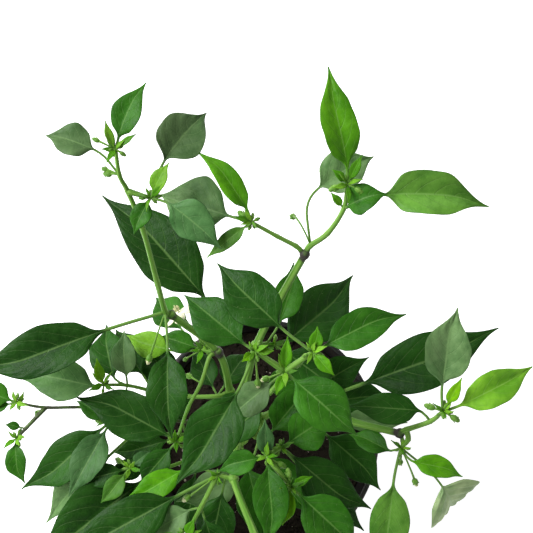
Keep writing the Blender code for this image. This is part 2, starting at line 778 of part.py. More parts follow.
def pot_inner_radius(height):
    return pot_outer_radius(height) - POT_WALL


def make_pot(collection, cutters, colour):
    """The nursery pot: a thin tapered wall with a lip, a foot ring and drain holes."""
    lip_low = POT_HEIGHT - LIP_HEIGHT
    floor = FOOT_HEIGHT + POT_WALL
    profile = [
        (0.0, floor),
        (pot_inner_radius(floor), floor),
        (pot_inner_radius(POT_HEIGHT), POT_HEIGHT - 0.8),
        (pot_inner_radius(POT_HEIGHT) + 0.6, POT_HEIGHT),
        (POT_RIM_RADIUS - 1.2, POT_HEIGHT),
        (POT_RIM_RADIUS - 0.4, POT_HEIGHT - 0.6),
        (pot_outer_radius(lip_low) + LIP_OUT, lip_low + 0.5),
        (pot_outer_radius(lip_low), lip_low),
        (pot_outer_radius(2.0), 2.0),
        (POT_BASE_RADIUS - 1.5, 0.0),
        (POT_BASE_RADIUS - 7.0, 0.0),
        (POT_BASE_RADIUS - 10.0, FOOT_HEIGHT),
        (HUB_RADIUS + FOOT_HEIGHT, FOOT_HEIGHT),
        (HUB_RADIUS, 0.0),
        (0.0, 0.0),
    ]
    pot = turned("pot", profile, collection)
    pot.data.materials.append(colour)
    bm = bmesh.new()
    for number in range(DRAIN_HOLES):
        angle = math.tau * number / DRAIN_HOLES
        centre = Vector((math.cos(angle), math.sin(angle), 0.0)) * DRAIN_RING * MM
        bmesh.ops.create_cone(
            bm, cap_ends=True, segments=8, radius1=DRAIN_RADIUS * MM, radius2=DRAIN_RADIUS * MM,
            depth=20 * MM, matrix=Matrix.Translation(centre),
        )
    holes = object_from_bmesh("drain_hole_cutter", bm, cutters)
    holes.hide_render = True
    holes.display_type = "WIRE"
    cut = pot.modifiers.new("drain_holes", "BOOLEAN")
    cut.object = holes
    cut.operation = "DIFFERENCE"
    cut.solver = "EXACT"
    return pot


def make_soil(collection, colour):
    """The soil: it fills the pot to below the rim, uneven on top, with a hole for the stem."""
    low = FOOT_HEIGHT + POT_WALL + GAP
    brim = pot_inner_radius(SOIL_TOP) - GAP
    socket = STEM_RUNS[0][1] + SOCKET_GAP
    profile = [(0.0, SOIL_TOP - SOCKET_DEPTH), (socket, SOIL_TOP - SOCKET_DEPTH)]
    profile += [(socket + (brim - socket) * share / 5, SOIL_TOP) for share in range(6)]
    profile += [(pot_inner_radius(low) - GAP, low), (0.0, low)]
    drawn = turned("soil_form", profile, collection)
    mesh = baked(drawn)
    bpy.data.objects.remove(drawn)
    for vertex in mesh.vertices:
        radius = vertex.co.xy.length / MM
        if abs(vertex.co.z - SOIL_TOP * MM) < 1e-6 and socket + 1.0 < radius < brim - 1.0:
            vertex.co.z += SOIL_RELIEF * MM * noise.noise(vertex.co * 45.0)
    mesh.materials.append(colour)
    soil = bpy.data.objects.new("soil", mesh)
    collection.objects.link(soil)
    return soil


def main():
    clear_scene()
    parts = new_collection("potted_chilli_plant")
    cutters = new_collection("cutters")
    make_pot(parts, cutters, material("pot", 0.5))
    make_soil(parts, material("soil", 0.95))
    joined("main_stem", stem_pieces(parts), parts, material("stem", 0.5))
    leaf_colours = {tint: material(tint, 0.42) for tint in ("leaf_dark", "leaf_green", "leaf_young")}
    for name, shoot in SHOOTS.items():
        joined(name, shoot_pieces(name, shoot, parts), parts, leaf_colours[shoot["tint"]])
    make_petals(parts, material("petal", 0.55))
    make_stamens(parts, material("anther", 0.7))


main()
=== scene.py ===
"""The looks of the potted chilli pepper plant: its pot, soil, stems, leaves and flower.

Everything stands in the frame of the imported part, with +Z up and the origin under the
middle of the pot. The plant's tables are in millimetres and degrees, and a heading turns
anticlockwise from +X. Finished pieces are in metres.
"""

import itertools
import math
import random
from collections import namedtuple

import bmesh
import bpy
from mathutils import Matrix, Quaternion, Vector, noise


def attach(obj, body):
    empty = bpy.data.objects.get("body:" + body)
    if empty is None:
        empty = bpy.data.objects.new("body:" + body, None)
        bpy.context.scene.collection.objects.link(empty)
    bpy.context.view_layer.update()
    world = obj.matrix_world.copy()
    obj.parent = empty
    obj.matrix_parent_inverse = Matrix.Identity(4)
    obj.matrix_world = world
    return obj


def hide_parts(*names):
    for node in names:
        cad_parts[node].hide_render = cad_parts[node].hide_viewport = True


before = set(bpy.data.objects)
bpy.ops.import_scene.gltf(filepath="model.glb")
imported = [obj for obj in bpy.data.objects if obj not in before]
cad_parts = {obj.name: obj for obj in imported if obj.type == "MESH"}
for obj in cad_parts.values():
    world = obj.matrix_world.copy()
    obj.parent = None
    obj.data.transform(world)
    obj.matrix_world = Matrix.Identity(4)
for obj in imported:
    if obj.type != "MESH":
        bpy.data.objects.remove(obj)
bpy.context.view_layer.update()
MM = 0.001

# --- Camera ---------------------------------------------------------------------------
# It looks almost straight down into the plant from a little in front of its pot, close
# enough for the lower shoots to run out of the picture.

CAMERA_PLACE = (3.0, 0.0, 681.0)
CAMERA_TILT = 12.83  # away from straight down, degrees
FOCAL_LENGTH = 50.0  # mm
SENSOR_WIDTH = 36.0  # mm

lens = bpy.data.cameras.new("camera")
lens.lens = FOCAL_LENGTH
lens.sensor_width = SENSOR_WIDTH
camera = bpy.data.objects.new("camera", lens)
camera.location = Vector(CAMERA_PLACE) * MM
camera.rotation_euler = (math.radians(CAMERA_TILT), 0.0, 0.0)
bpy.context.scene.collection.objects.link(camera)
bpy.context.scene.camera = camera

# --- Nursery pot ----------------------------------------------------------------------
# A thin black pot moulded from recycled plastic: a tapered wall with a rolled lip, a ledge
# where pots stack, and a raised floor with drain holes. Peat dust clings to it.

POT_HEIGHT = 130.0
POT_RIM_RADIUS = 85.0
POT_BASE_RADIUS = 60.0
POT_WALL = 1.8
LIP_HEIGHT = 13.0
LIP_OUT = 2.6
FOOT_HEIGHT = 3.0
HUB_RADIUS = 18.0
LEDGE_DOWN = 34.0  # from the rim to the ledge
LEDGE_OUT = 0.5
INNER_ROLL = 1.0  # radius of the lip's inner edge
OUTER_ROLL = 1.3  # and of its outer edge
DRAIN_HOLES = 8
DRAIN_RADIUS = 5.0
DRAIN_RING = 36.0
DRAIN_SIDES = 24
DRILL_LENGTH = 20.0
POT_STEPS = 144
PLASTIC_BLACK = (0.009, 0.009, 0.010)
DUST_BROWN = (0.085, 0.070, 0.055)
SPLASHED = (0.112, 0.128)  # heights in metres between which splashes of dust grow thick


class Wire:
    """A shader socket. Arithmetic on it adds the Math nodes that work it out."""

    def __init__(self, finish, socket):
        self.finish = finish
        self.socket = socket

    def math(self, operation, *others):
        return self.finish.node("Math", {"operation": operation}, dict(enumerate([self, *others])))

    def __add__(self, other):
        return self.math("ADD", other)

    def __sub__(self, other):
        return self.math("SUBTRACT", other)

    def __rsub__(self, other):
        return self.finish.node("Math", {"operation": "SUBTRACT"}, {0: other, 1: self})

    def __mul__(self, other):
        return self.math("MULTIPLY", other)

    def __pow__(self, other):
        return self.math("POWER", other)

    def __gt__(self, other):
        return self.math("GREATER_THAN", other)

    def __abs__(self):
        return self.math("ABSOLUTE")

    __radd__ = __add__
    __rmul__ = __mul__

    def rise(self, low, high):
        """A smooth step from 0 at low to 1 at high."""
        settings = {"interpolation_type": "SMOOTHSTEP"}
        inputs = {"Value": self, "From Min": low, "From Max": high}
        return self.finish.node("MapRange", settings, inputs)


class Finish:
    """A material in the making: a Principled shader and the nodes that feed it."""

    def __init__(self, name, **constants):
        self.material = bpy.data.materials.new(name)
        self.material.use_nodes = True
        self.tree = self.material.node_tree
        self.shader = self.tree.nodes["Principled BSDF"]
        for socket, value in constants.items():
            self.shader.inputs[socket.replace("_", " ")].default_value = value

    def node(self, kind, settings=None, inputs=None, output=0):
        """Adds a node, sets it, then gives its sockets their values or links."""
        made = self.tree.nodes.new("ShaderNode" + kind)
        for name, value in (settings or {}).items():
            setattr(made, name, value)
        for key, value in (inputs or {}).items():
            self.plug(self.socket(made.inputs, key), value)
        return Wire(self, self.socket(made.outputs, output))

    def socket(self, sockets, key):
        if isinstance(key, int):
            return sockets[key]
        return next(s for s in sockets if key in (s.identifier, s.name))

    def plug(self, socket, value):
        if isinstance(value, Wire):
            self.tree.links.new(value.socket, socket)
        elif isinstance(value, tuple) and len(value) < len(socket.default_value):
            socket.default_value = (*value, 1.0)
        else:
            socket.default_value = value

    def feed(self, **wires):
        for name, value in wires.items():
            self.plug(self.shader.inputs[name.replace("_", " ")], value)

    def place(self):
        """Where a point is on the piece, in metres."""
        return self.node("TexCoord", output="Object")

    def layer(self, name, output="Vector"):
        """What the mesh itself says under this name."""
        return self.node("Attribute", {"attribute_name": name}, output=output)

    def split(self, vector):
        made = self.node("SeparateXYZ", inputs={"Vector": vector}).socket.node
        return [Wire(self, socket) for socket in made.outputs]

    def grain(self, scale, detail=2.0, place=None, roughness=0.5):
        """Soft noise from 0 to 1, with this many features to a metre, or to a unit of place."""
        inputs = {"Vector": place or self.place(), "Scale": scale, "Detail": detail}
        inputs["Roughness"] = roughness
        return self.node("TexNoise", inputs=inputs)

    def mix(self, share, start, stop, blend="MIX"):
        """A colour from start to stop."""
        settings = {"data_type": "RGBA", "blend_type": blend}
        inputs = {"Factor_Float": share, "A_Color": start, "B_Color": stop}
        return self.node("Mix", settings, inputs, "Result_Color")

    def bump(self, height, depth, strength=1.0):
        """Relief in the surface. depth is what a height of 1 stands for, in metres."""
        return self.node("Bump", inputs={"Height": height, "Distance": depth, "Strength": strength})


def built(name, bm, *finishes):
    """An object made from a bmesh, in the scene."""
    mesh = bpy.data.meshes.new(name)
    bm.to_mesh(mesh)
    bm.free()
    for finish in finishes:
        mesh.materials.append(finish.material)
    made = bpy.data.objects.new(name, mesh)
    bpy.context.scene.collection.objects.link(made)
    return made


def finished(name, bm, *finishes, slot, body="root", nodes=()):
    """A smooth-shaded object from a finished bmesh. It rides on the plant's body."""
    for face in bm.faces:
        face.smooth = True
    piece = built(name, bm, *finishes)
    if nodes:
        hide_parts(*nodes)
    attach(piece, body)
    return piece


def seal(bm, reach):
    """Merges points that lie within reach (mm) of each other and turns all faces outwards."""
    bmesh.ops.remove_doubles(bm, verts=bm.verts[:], dist=reach * MM)
    bmesh.ops.recalc_face_normals(bm, faces=bm.faces[:])


def pot_outer_radius(height):
    """Radius of the pot's outside wall at this height, below its lip."""
    return POT_BASE_RADIUS + (POT_RIM_RADIUS - LIP_OUT - POT_BASE_RADIUS) * height / POT_HEIGHT


def pot_inner_radius(height):
    return pot_outer_radius(height) - POT_WALL


def spun(profile, steps):
    """A closed shell turned about Z from (radius, height) points in mm, which run from the
    axis to the axis."""
    bm = bmesh.new()
    points = [bm.verts.new((radius * MM, 0.0, height * MM)) for radius, height in profile]
    edges = [bm.edges.new(pair) for pair in zip(points, points[1:])]
    bmesh.ops.spin(
        bm, geom=points + edges, axis=(0, 0, 1), cent=(0, 0, 0), angle=math.tau, steps=steps,
        use_merge=True,
    )
    seal(bm, 0.01)
    if bm.calc_volume(signed=True) < 0:
        bmesh.ops.reverse_faces(bm, faces=bm.faces[:])
    return bm


def quarter_round(radius, height, roll, start):
    """Points of a quarter turn, clockwise from the start angle, round this centre."""
    angles = [math.radians(start - 22.5 * step) for step in range(5)]
    return [(radius + roll * math.cos(angle), height + roll * math.sin(angle)) for angle in angles]


def pot_profile():
    """The pot's section: up its inside, over the rolled lip, and down its outside."""
    lip_low = POT_HEIGHT - LIP_HEIGHT
    floor = FOOT_HEIGHT + POT_WALL
    ledge = POT_HEIGHT - LEDGE_DOWN
    inside = pot_inner_radius(POT_HEIGHT) + 0.2
    outside = POT_RIM_RADIUS - OUTER_ROLL - 0.3
    skirt = pot_outer_radius(lip_low) + LIP_OUT
    neck = pot_outer_radius(lip_low)
    shelf = pot_outer_radius(ledge) + LEDGE_OUT
    foot = POT_BASE_RADIUS
    return [
        (0.0, floor), (pot_inner_radius(floor) - 2.0, floor),
        (pot_inner_radius(floor + 2.0), floor + 2.0), (pot_inner_radius(ledge), ledge),
        (inside - 0.2, POT_HEIGHT - 3.0),
        *quarter_round(inside + INNER_ROLL, POT_HEIGHT - INNER_ROLL, INNER_ROLL, 180),
        *quarter_round(outside, POT_HEIGHT - OUTER_ROLL, OUTER_ROLL, 90),
        (skirt + 0.1, lip_low + 1.4), (skirt, lip_low + 0.7), (skirt - 0.7, lip_low + 0.1),
        (neck + 0.4, lip_low + 0.3), (neck, lip_low - 0.6),
        (shelf, ledge + 1.2), (shelf, ledge), (pot_outer_radius(ledge), ledge - 1.0),
        *((pot_outer_radius(height), height) for height in (60.0, 30.0, 6.0, 3.0)),
        (foot - 0.4, 1.0), (foot - 2.0, 0.0), (foot - 6.5, 0.0),
        (foot - 8.0, 0.6), (foot - 10.0, FOOT_HEIGHT),
        (HUB_RADIUS + FOOT_HEIGHT, FOOT_HEIGHT), (HUB_RADIUS + 0.8, 0.5), (HUB_RADIUS, 0.0),
        (0.0, 0.0),
    ]


pot_plastic = Finish("pot_plastic", Metallic=0.0, Specular_IOR_Level=0.35)
dust = pot_plastic.grain(70.0, 5.0).rise(0.45, 0.75)
scuff = pot_plastic.grain(420.0, 3.0)
pot_height = pot_plastic.split(pot_plastic.place())[2]
splash = pot_height.rise(*SPLASHED) * dust
dusty = 0.05 + 0.5 * splash + 0.15 * dust
pot_plastic.feed(
    Base_Color=pot_plastic.mix(dusty, PLASTIC_BLACK, DUST_BROWN),
    Roughness=0.38 + 0.22 * dust + 0.10 * scuff,
    Normal=pot_plastic.bump(scuff + 0.6 * dust, 0.00012, 0.5),
)

pot = finished("nursery_pot", spun(pot_profile(), POT_STEPS), pot_plastic, slot="pot", nodes=["pot"])
cutters = bmesh.new()
for number in range(DRAIN_HOLES):
    turn = Matrix.Rotation(math.tau * number / DRAIN_HOLES, 4, "Z")
    bmesh.ops.create_cone(
        cutters, cap_ends=True, segments=DRAIN_SIDES, radius1=DRAIN_RADIUS * MM,
        radius2=DRAIN_RADIUS * MM, depth=DRILL_LENGTH * MM,
        matrix=turn @ Matrix.Translation((DRAIN_RING * MM, 0, 0)),
    )
holes = built("drain_holes", cutters)
cut = pot.modifiers.new("drain_holes", "BOOLEAN")
cut.operation = "DIFFERENCE"
cut.solver = "EXACT"
cut.object = holes
bpy.context.view_layer.update()
drilled = pot.evaluated_get(bpy.context.evaluated_depsgraph_get())
drained = bpy.data.meshes.new_from_object(drilled)
pot.modifiers.clear()
pot.data = drained
bpy.data.objects.remove(holes)

# --- Soil -----------------------------------------------------------------------------
# Dark peat potting soil with a few grains of pale perlite, filled to a little below the
# rim. It lies in crumbs of all sizes, and the stem comes up through it.

SOIL_TOP = 114.0
SOIL_RELIEF = 1.6  # of the soil's slow waves
SWELL = 0.045  # how closely these waves follow on each other
LUMPS = ((1.1, 0.21), (0.8, 0.55))  # height, and how closely lumps of that height follow
SOIL_RINGS = 90
SOIL_STEPS = 200
CRUMBS = 1500
CRUMB_SIZES = (0.5, 2.4)  # radius
PERLITE_GRAINS = 130
PERLITE_SIZES = (0.4, 1.5)
EDGE_CLEAR = 2.5  # crumbs keep this far from the pot's wall
GAP = 0.3  # between pieces that lie against each other
PEAT_BROWN = (0.011, 0.008, 0.006)
PEAT_DAMP = (0.005, 0.004, 0.003)
PEAT_FIBRE = (0.034, 0.025, 0.018)
PERLITE_DIRTY = (0.26, 0.21, 0.16)
PERLITE_CLEAN = (0.52, 0.48, 0.42)


def add_grid(bm, rows, steps):
    """Adds a grid that gets bent into a closed skin: its vertices, each with its row and with
    how far round the skin it lies."""
    made = bmesh.ops.create_grid(bm, x_segments=rows, y_segments=steps, size=0.5)["verts"]
    return [(v, round((v.co.x + 0.5) * rows), math.tau * (v.co.y + 0.5)) for v in made]


def soil_height(x, y):
    """Height of the soil's surface, in mm, where x and y are in mm."""
    spot = Vector((x, y, 0.0))
    swell = SOIL_RELIEF * noise.noise(spot * SWELL)
    return SOIL_TOP + swell + sum(high * noise.noise(spot * fine) for high, fine in LUMPS)


peat = Finish("peat", Metallic=0.0, Specular_IOR_Level=0.12)
lump = peat.grain(900.0, 4.0, roughness=0.65)
damp = peat.grain(60.0, 3.0).rise(0.35, 0.7)
fibre = peat.grain(2600.0, 2.0)
dark_peat = peat.mix(damp, PEAT_BROWN, PEAT_DAMP)
peat.feed(
    Base_Color=peat.mix(lump * 0.7 + 0.5 * fibre * fibre, dark_peat, PEAT_FIBRE),
    Roughness=0.98 - 0.25 * damp,
    Normal=peat.bump(lump + 0.5 * fibre, 0.0009),
)
stone = Finish("perlite", Metallic=0.0)
pit = stone.grain(2400.0, 3.0)
stone.feed(
    Base_Color=stone.mix(pit.rise(0.35, 0.7), PERLITE_DIRTY, PERLITE_CLEAN),
    Roughness=0.85 + 0.1 * pit,
    Normal=stone.bump(pit, 0.0005),
)

low = FOOT_HEIGHT + POT_WALL + GAP
brim = pot_inner_radius(SOIL_TOP) - GAP
underneath = [(pot_inner_radius(low) - GAP, low), (0.0, low)]
rings = SOIL_RINGS + len(underneath)
bed = bmesh.new()
for vertex, ring, turn in add_grid(bed, rings, SOIL_STEPS):
    if ring > SOIL_RINGS:
        radius, height = underneath[ring - SOIL_RINGS - 1]
    else:
        radius = brim * ring / SOIL_RINGS
        height = soil_height(radius * math.cos(turn), radius * math.sin(turn))
    vertex.co = Vector((radius * math.cos(turn), radius * math.sin(turn), height)) * MM
seal(bed, 0.001)
finished("potting_soil", bed, peat, slot="soil", nodes=["soil"])


def scattered(bm, count, sizes, seed):
    """Small rough lumps that lie on the soil, a third sunk in. Sizes in mm."""
    draw = random.Random(seed)
    for number in range(count):
        reach = (brim - EDGE_CLEAR) * math.sqrt(draw.random())
        turn = draw.uniform(0.0, math.tau)
        size = sizes[0] + (sizes[1] - sizes[0]) * draw.random() ** 2.5
        x, y = reach * math.cos(turn), reach * math.sin(turn)
        spot = Vector((x, y, soil_height(x, y) + 0.3 * size)) * MM
        made = bmesh.ops.create_icosphere(bm, subdivisions=1, radius=size * MM)["verts"]
        angle = draw.uniform(0.0, math.tau)
        spin = Matrix.Rotation(angle, 4, Vector((draw.random(), draw.random(), 1.0)))
        squash = Matrix.Diagonal((1.0, draw.uniform(0.6, 1.0), draw.uniform(0.5, 0.9), 1.0))
        for vertex in made:
            vertex.co *= draw.uniform(0.75, 1.2)
        bmesh.ops.transform(bm, verts=made, matrix=Matrix.Translation(spot) @ squash @ spin)


crumbs = bmesh.new()
scattered(crumbs, CRUMBS, CRUMB_SIZES, seed=5)
finished("soil_crumbs", crumbs, peat, slot="soil")
grains = bmesh.new()
scattered(grains, PERLITE_GRAINS, PERLITE_SIZES, seed=11)
finished("perlite_grains", grains, stone, slot="soil")

# --- Main stem ------------------------------------------------------------------------
# The old stem stands in the soil and forks again and again. It is green and ribbed along
# its length, thickened where it forks, and some of its knots have turned purple-black.

SOCKET_DEPTH = 22.0  # how far the stem goes down into the soil
STEM_NODES = {
    "root": (0, 0, SOIL_TOP - SOCKET_DEPTH + GAP),
    "sleeve": (0, 0, SOIL_TOP - 6),
    "collar": (0, 0, SOIL_TOP + 5),
    "low": (-3, 1, 140),
    "mid": (-8, 3, 163),
    "crotch": (-14, 5, 185),
    "n1": (-10, 30, 212),
    "n2": (-3, 53, 235),
    "n3": (11, 77, 262),
    "north": (24, 97, 285),
    "w1": (-20, 27, 205),
    "west": (-27, 50, 225),
    "north_west": (-53, 69, 250),
    "e0": (0, 11, 195),
    "e1": (22, 18, 210),
    "e2": (53, 8, 232),
    "east": (79, 1, 248),
    "s1": (-16, -9, 200),
    "s2": (-17, -26, 213),
    "s3": (-4, -54, 240),
    "south": (4, -74, 258),
}
# Each run of the main stem: its nodes, and its radius at the first and the last.
STEM_RUNS = [
    (["root", "sleeve", "collar", "low", "mid", "crotch"], 3.9, 3.3),
    (["crotch", "n1", "n2", "n3", "north"], 2.5, 2.0),
    (["crotch", "w1", "west", "north_west"], 2.4, 2.1),
    (["crotch", "e0", "e1", "e2", "east"], 2.4, 2.0),
    (["crotch", "s1", "s2", "s3", "south"], 2.3, 1.9),
]
# The radius of each thickened knot, and how purple some of the knots are.
KNUCKLES = {
    "low": 4.8, "mid": 4.6, "crotch": 4.4, "n1": 3.4, "n2": 3.4, "north": 3.0, "w1": 3.3,
    "west": 3.4, "north_west": 3.0, "e0": 3.3, "e1": 3.3, "east": 3.0, "s2": 3.3, "south": 3.0,
}
PURPLE_KNUCKLES = {
    "north": 1.0, "north_west": 0.8, "west": 1.0, "east": 1.0, "w1": 0.5, "n2": 0.5, "s2": 0.6,
    "e1": 0.5,
}
PURPLE_REACH = 8.0  # mm
WEATHERED = {"shoot_far_west": 0.62}  # thin old twigs that have darkened all along
NODE_SWELL = 0.14  # how much thicker a stem is at the nodes between its ends
RUN_STEPS = 12  # between two nodes
RUN_SIDES = 24
KNUCKLE_SIDES, KNUCKLE_ROWS = 20, 14
STALK_SIDES = 16
RIBS = 5
RIB_DEPTH = 0.05  # on a stem, as a share of its radius
KNOT_RIB_DEPTH = 0.04  # on a knot or a bud
STREAK_RUN = 0.02  # how slowly streaks change along a stem, against round it
STEM_GREEN = (0.070, 0.200, 0.018)
STEM_STREAK = (0.190, 0.360, 0.065)
STEM_MOTTLE = (0.115, 0.270, 0.030)
KNOT_BLACK = (0.022, 0.017, 0.020)
KNOT_BROWN = (0.060, 0.056, 0.042)
BUD_CREAM = (0.62, 0.62, 0.36)

stalk_skin = Finish("ribbed_stem", Metallic=0.0, Specular_IOR_Level=0.15)
ribs = stalk_skin.layer("ribs")
purple = stalk_skin.layer("purple", "Fac")
bare = stalk_skin.layer("cream", "Fac")
streaks = stalk_skin.grain(1.6, 3.0, ribs)
mottle = stalk_skin.grain(160.0, 3.0)
green = stalk_skin.mix(streaks.rise(0.35, 0.65), STEM_GREEN, STEM_STREAK)
green = stalk_skin.mix(0.4 * mottle, green, STEM_MOTTLE)
dark_knot = stalk_skin.mix(mottle, KNOT_BLACK, KNOT_BROWN)
skin = stalk_skin.mix((purple + 0.5 * mottle - 0.25).rise(0.35, 0.75), green, dark_knot)
stalk_skin.feed(
    Base_Color=stalk_skin.mix(bare, skin, BUD_CREAM),
    Roughness=0.40 + 0.15 * mottle,
    Normal=stalk_skin.bump(streaks + 0.3 * mottle, 0.0004),
)


def smooth_route(points, steps):
    """A Catmull-Rom curve through the points, as a list of points."""
    points = [Vector(p) for p in points]
    ends = [2 * points[0] - points[1], *points, 2 * points[-1] - points[-2]]
    route = []
    for before, start, stop, after in zip(ends, ends[1:], ends[2:], ends[3:]):
        for step in range(steps):
            t = step / steps
            route.append(0.5 * (
                2 * start
                + (stop - before) * t
                + (2 * before - 5 * start + 4 * stop - after) * t * t
                + (3 * start - before - 3 * stop + after) * t * t * t
            ))
    return [*route, points[-1]]


def new_piece():
    """An empty bmesh with the layers that the plant's materials read."""
    bm = bmesh.new()
    for name in ("ribs", "blade"):
        bm.verts.layers.float_vector.new(name)
    for name in ("purple", "cream", "vein_pairs"):
        bm.verts.layers.float.new(name)
    bm.verts.layers.float_color.new("tint")
    return bm


def purple_at(point):
    """How purple the stem is here: it darkens close to some of its knots."""
    return max(
        depth * max(0.0, 1.0 - (Vector(STEM_NODES[name]) - point).length / PURPLE_REACH)
        for name, depth in PURPLE_KNUCKLES.items()
    )


def add_tube(bm, route, radii, sides=STALK_SIDES, ribbed=RIB_DEPTH, cream=0.0, darkened=0.0):
    """Adds a closed tube along a route, in mm, with one radius for each of its points."""
    rows = len(route) + 1
    ribs = bm.verts.layers.float_vector["ribs"]
    purple = bm.verts.layers.float["purple"]
    bare = bm.verts.layers.float["cream"]
    side = Vector((0.31, 0.87, 0.38))  # no stem starts out along it
    frames = []
    travelled = 0.0
    for index, point in enumerate(route):
        before, after = route[max(0, index - 1)], route[min(len(route) - 1, index + 1)]
        forward = (after - before).normalized()
        side = (side - forward * side.dot(forward)).normalized()
        travelled += (point - before).length if index else 0.0
        frames.append((point, side, forward.cross(side), travelled))
    made = add_grid(bm, rows, sides)
    for vertex, row, turn in made:
        index = min(max(row - 1, 0), len(route) - 1)
        point, left, up, along = frames[index]
        open_row = 0 < row < rows
        radius = radii[index] * (1.0 + ribbed * math.cos(RIBS * turn)) if open_row else 0.0
        around = left * math.cos(turn) + up * math.sin(turn)
        vertex[ribs] = Vector((math.cos(turn), math.sin(turn), along * STREAK_RUN))
        vertex[purple] = max(darkened, purple_at(point))
        vertex[bare] = cream
        vertex.co = (point + around * radius) * MM
    bmesh.ops.remove_doubles(bm, verts=[vertex for vertex, _, _ in made], dist=0.002 * MM)


def add_stalk(bm, points, start_radius, end_radius, steps, sides=STALK_SIDES, darkened=0.0):
    """Adds a tapering stem through some nodes, a little thicker at each node between."""
    route = smooth_route(points, steps)
    radii = []
    for index in range(len(route)):
        share = index / (len(route) - 1)
        passed = index / steps  # nodes
        off_node = abs(((passed + 0.5) % 1.0) - 0.5)
        between_ends = 0.3 < passed < len(points) - 1.3
        swell = NODE_SWELL * max(0.0, 1.0 - off_node * 5.0) if between_ends else 0.0
        radii.append((start_radius + (end_radius - start_radius) * share) * (1.0 + swell))
    add_tube(bm, route, radii, sides, darkened=darkened)


def add_ovoid(bm, centre, axis, radius, length, sides, rows, blunt=1.0, cream=0.0):
    """Adds an egg-shaped solid along an axis. A blunt one is fuller at its far end."""
    axis = Vector(axis).normalized()
    route = []
    radii = []
    for row in range(rows + 1):
        share = 0.5 - 0.5 * math.cos(math.pi * row / rows)
        route.append(Vector(centre) + axis * (length * share - length / 2))
        fullness = 2.0 * math.sqrt(max(0.0, share * (1.0 - share)))
        radii.append(radius * fullness * (1.0 + (blunt - 1.0) * (share - 0.5)))
    add_tube(bm, route, radii, sides, KNOT_RIB_DEPTH, cream)


old_stem = new_piece()
for names, start_radius, end_radius in STEM_RUNS:
    points = [STEM_NODES[name] for name in names]
    add_stalk(old_stem, points, start_radius, end_radius, RUN_STEPS, RUN_SIDES)
for name, radius in KNUCKLES.items():
    place = STEM_NODES[name]
    add_ovoid(old_stem, place, (0.1, 0.0, 1.0), radius, 2.0 * radius, KNUCKLE_SIDES, KNUCKLE_ROWS)
finished("old_stem", old_stem, stalk_skin, slot="stem", nodes=["main_stem"])

# --- Leafy shoots ---------------------------------------------------------------------
# Each shoot grows from a knot of the old stem: a thin green stem with long-stalked leaves,
# each folded a little along its midrib, and flower buds that nod at the growing tips.

LEAF_FOLD = 16.0  # each half of a blade rises this far above its midrib, degrees
LEAF_BELLY = 0.42  # where along the blade it is widest
LEAF_FRONT = 1.1  # how slowly the blade widens from its base
LEAF_WEDGE = 0.20  # share of the blade that tapers into its stalk
LEAF_TAIL = 0.38  # share of the blade that is drawn out into its tip
LEAF_TAIL_CUT = 0.45  # how far that narrows the tip
LINE_STEP = 2.0  # step for following a curved stalk and midrib, mm
VEIN_REACH = 0.34  # how far towards the tip a side vein runs, as a share of the blade
VEIN_BOW = 1.45  # how much a side vein bows on its way out
BLADE_DEPTH = 0.26  # half of a blade's thickness, mm
QUILT_SHARE = 0.038  # how far a blade swells between its veins, as a share of its width
QUILT_MOST = 1.2  # and the most that it swells, mm
EDGE_WAVER = 0.045  # how far the blade's edge wavers, as a share of its half width
SWAY = 0.10  # how far the tip may swing sideways, as a share of the blade
WAVE_HEIGHTS = (0.04, 0.09)  # of the waves along its edge, as a share of its width
FOLD_SPREAD = (-6.0, 9.0)  # how far the fold of a half may differ, degrees
HALF_TONE_AND_SHEEN_SPREAD = (-0.16, 0.22)  # and its tone, partly at random and partly a painted sheen that makes one half lighter than the other
BUD_STEPS = 8
TEETH = 5
TIP_SIZE = 10.0  # mm
TIP_LEAVES = 4
TIP_BUDS = 5
GOLDEN_ANGLE = 137.5  # degrees
SHOOT_STEPS, SHOOT_SIDES = 6, 12
SHOOT_START = 0.3  # where its stem starts, as a share of the way from its knot to its node a
# The greyer tones (grey, slate, sea and pale) are partly the leaves' own grey-green and partly a
# painted sheen, for the grey that gloss lays on some leaves.
TONES = {
    "old": (0.010, 0.052, 0.004),
    "dark": (0.015, 0.074, 0.006),
    "full": (0.027, 0.128, 0.007),
    "soft": (0.080, 0.220, 0.026),
    "fresh": (0.072, 0.260, 0.005),
    "bright": (0.150, 0.370, 0.022),
    "lime": (0.130, 0.350, 0.002),
    "grey": (0.115, 0.225, 0.080),
    "slate": (0.078, 0.152, 0.054),
    "blue": (0.050, 0.138, 0.040),
    "sea": (0.080, 0.190, 0.055),
    "pale": (0.310, 0.430, 0.215),
}
STALK_GREEN = (0.120, 0.250, 0.045)
DEEPER, LIGHTER, PALER = (0.62, 0.72, 0.60), (1.35, 1.22, 1.25), (1.5, 1.4, 1.6)  # factors
VEIN_GREEN = (0.16, 0.27, 0.08)
UNDER_GREEN = (0.17, 0.26, 0.10)
UNDER_VEIN = (0.24, 0.36, 0.14)

# A leaf: its stalk leaves the node with this heading and rise, the blade turns by turn,
# falls by droop from its base to its tip, and rolls about its midrib by roll.
LEAF_FIELDS = "node heading rise petiole blade width tone droop turn roll"
Leaf = namedtuple("Leaf", LEAF_FIELDS, defaults=(30, 0, 0))
# A flower bud: its thin stalk leaves the node like a leaf's, and curls over by curl degrees.
Bud = namedtuple("Bud", "node heading rise length curl size", defaults=(60, 2.3))

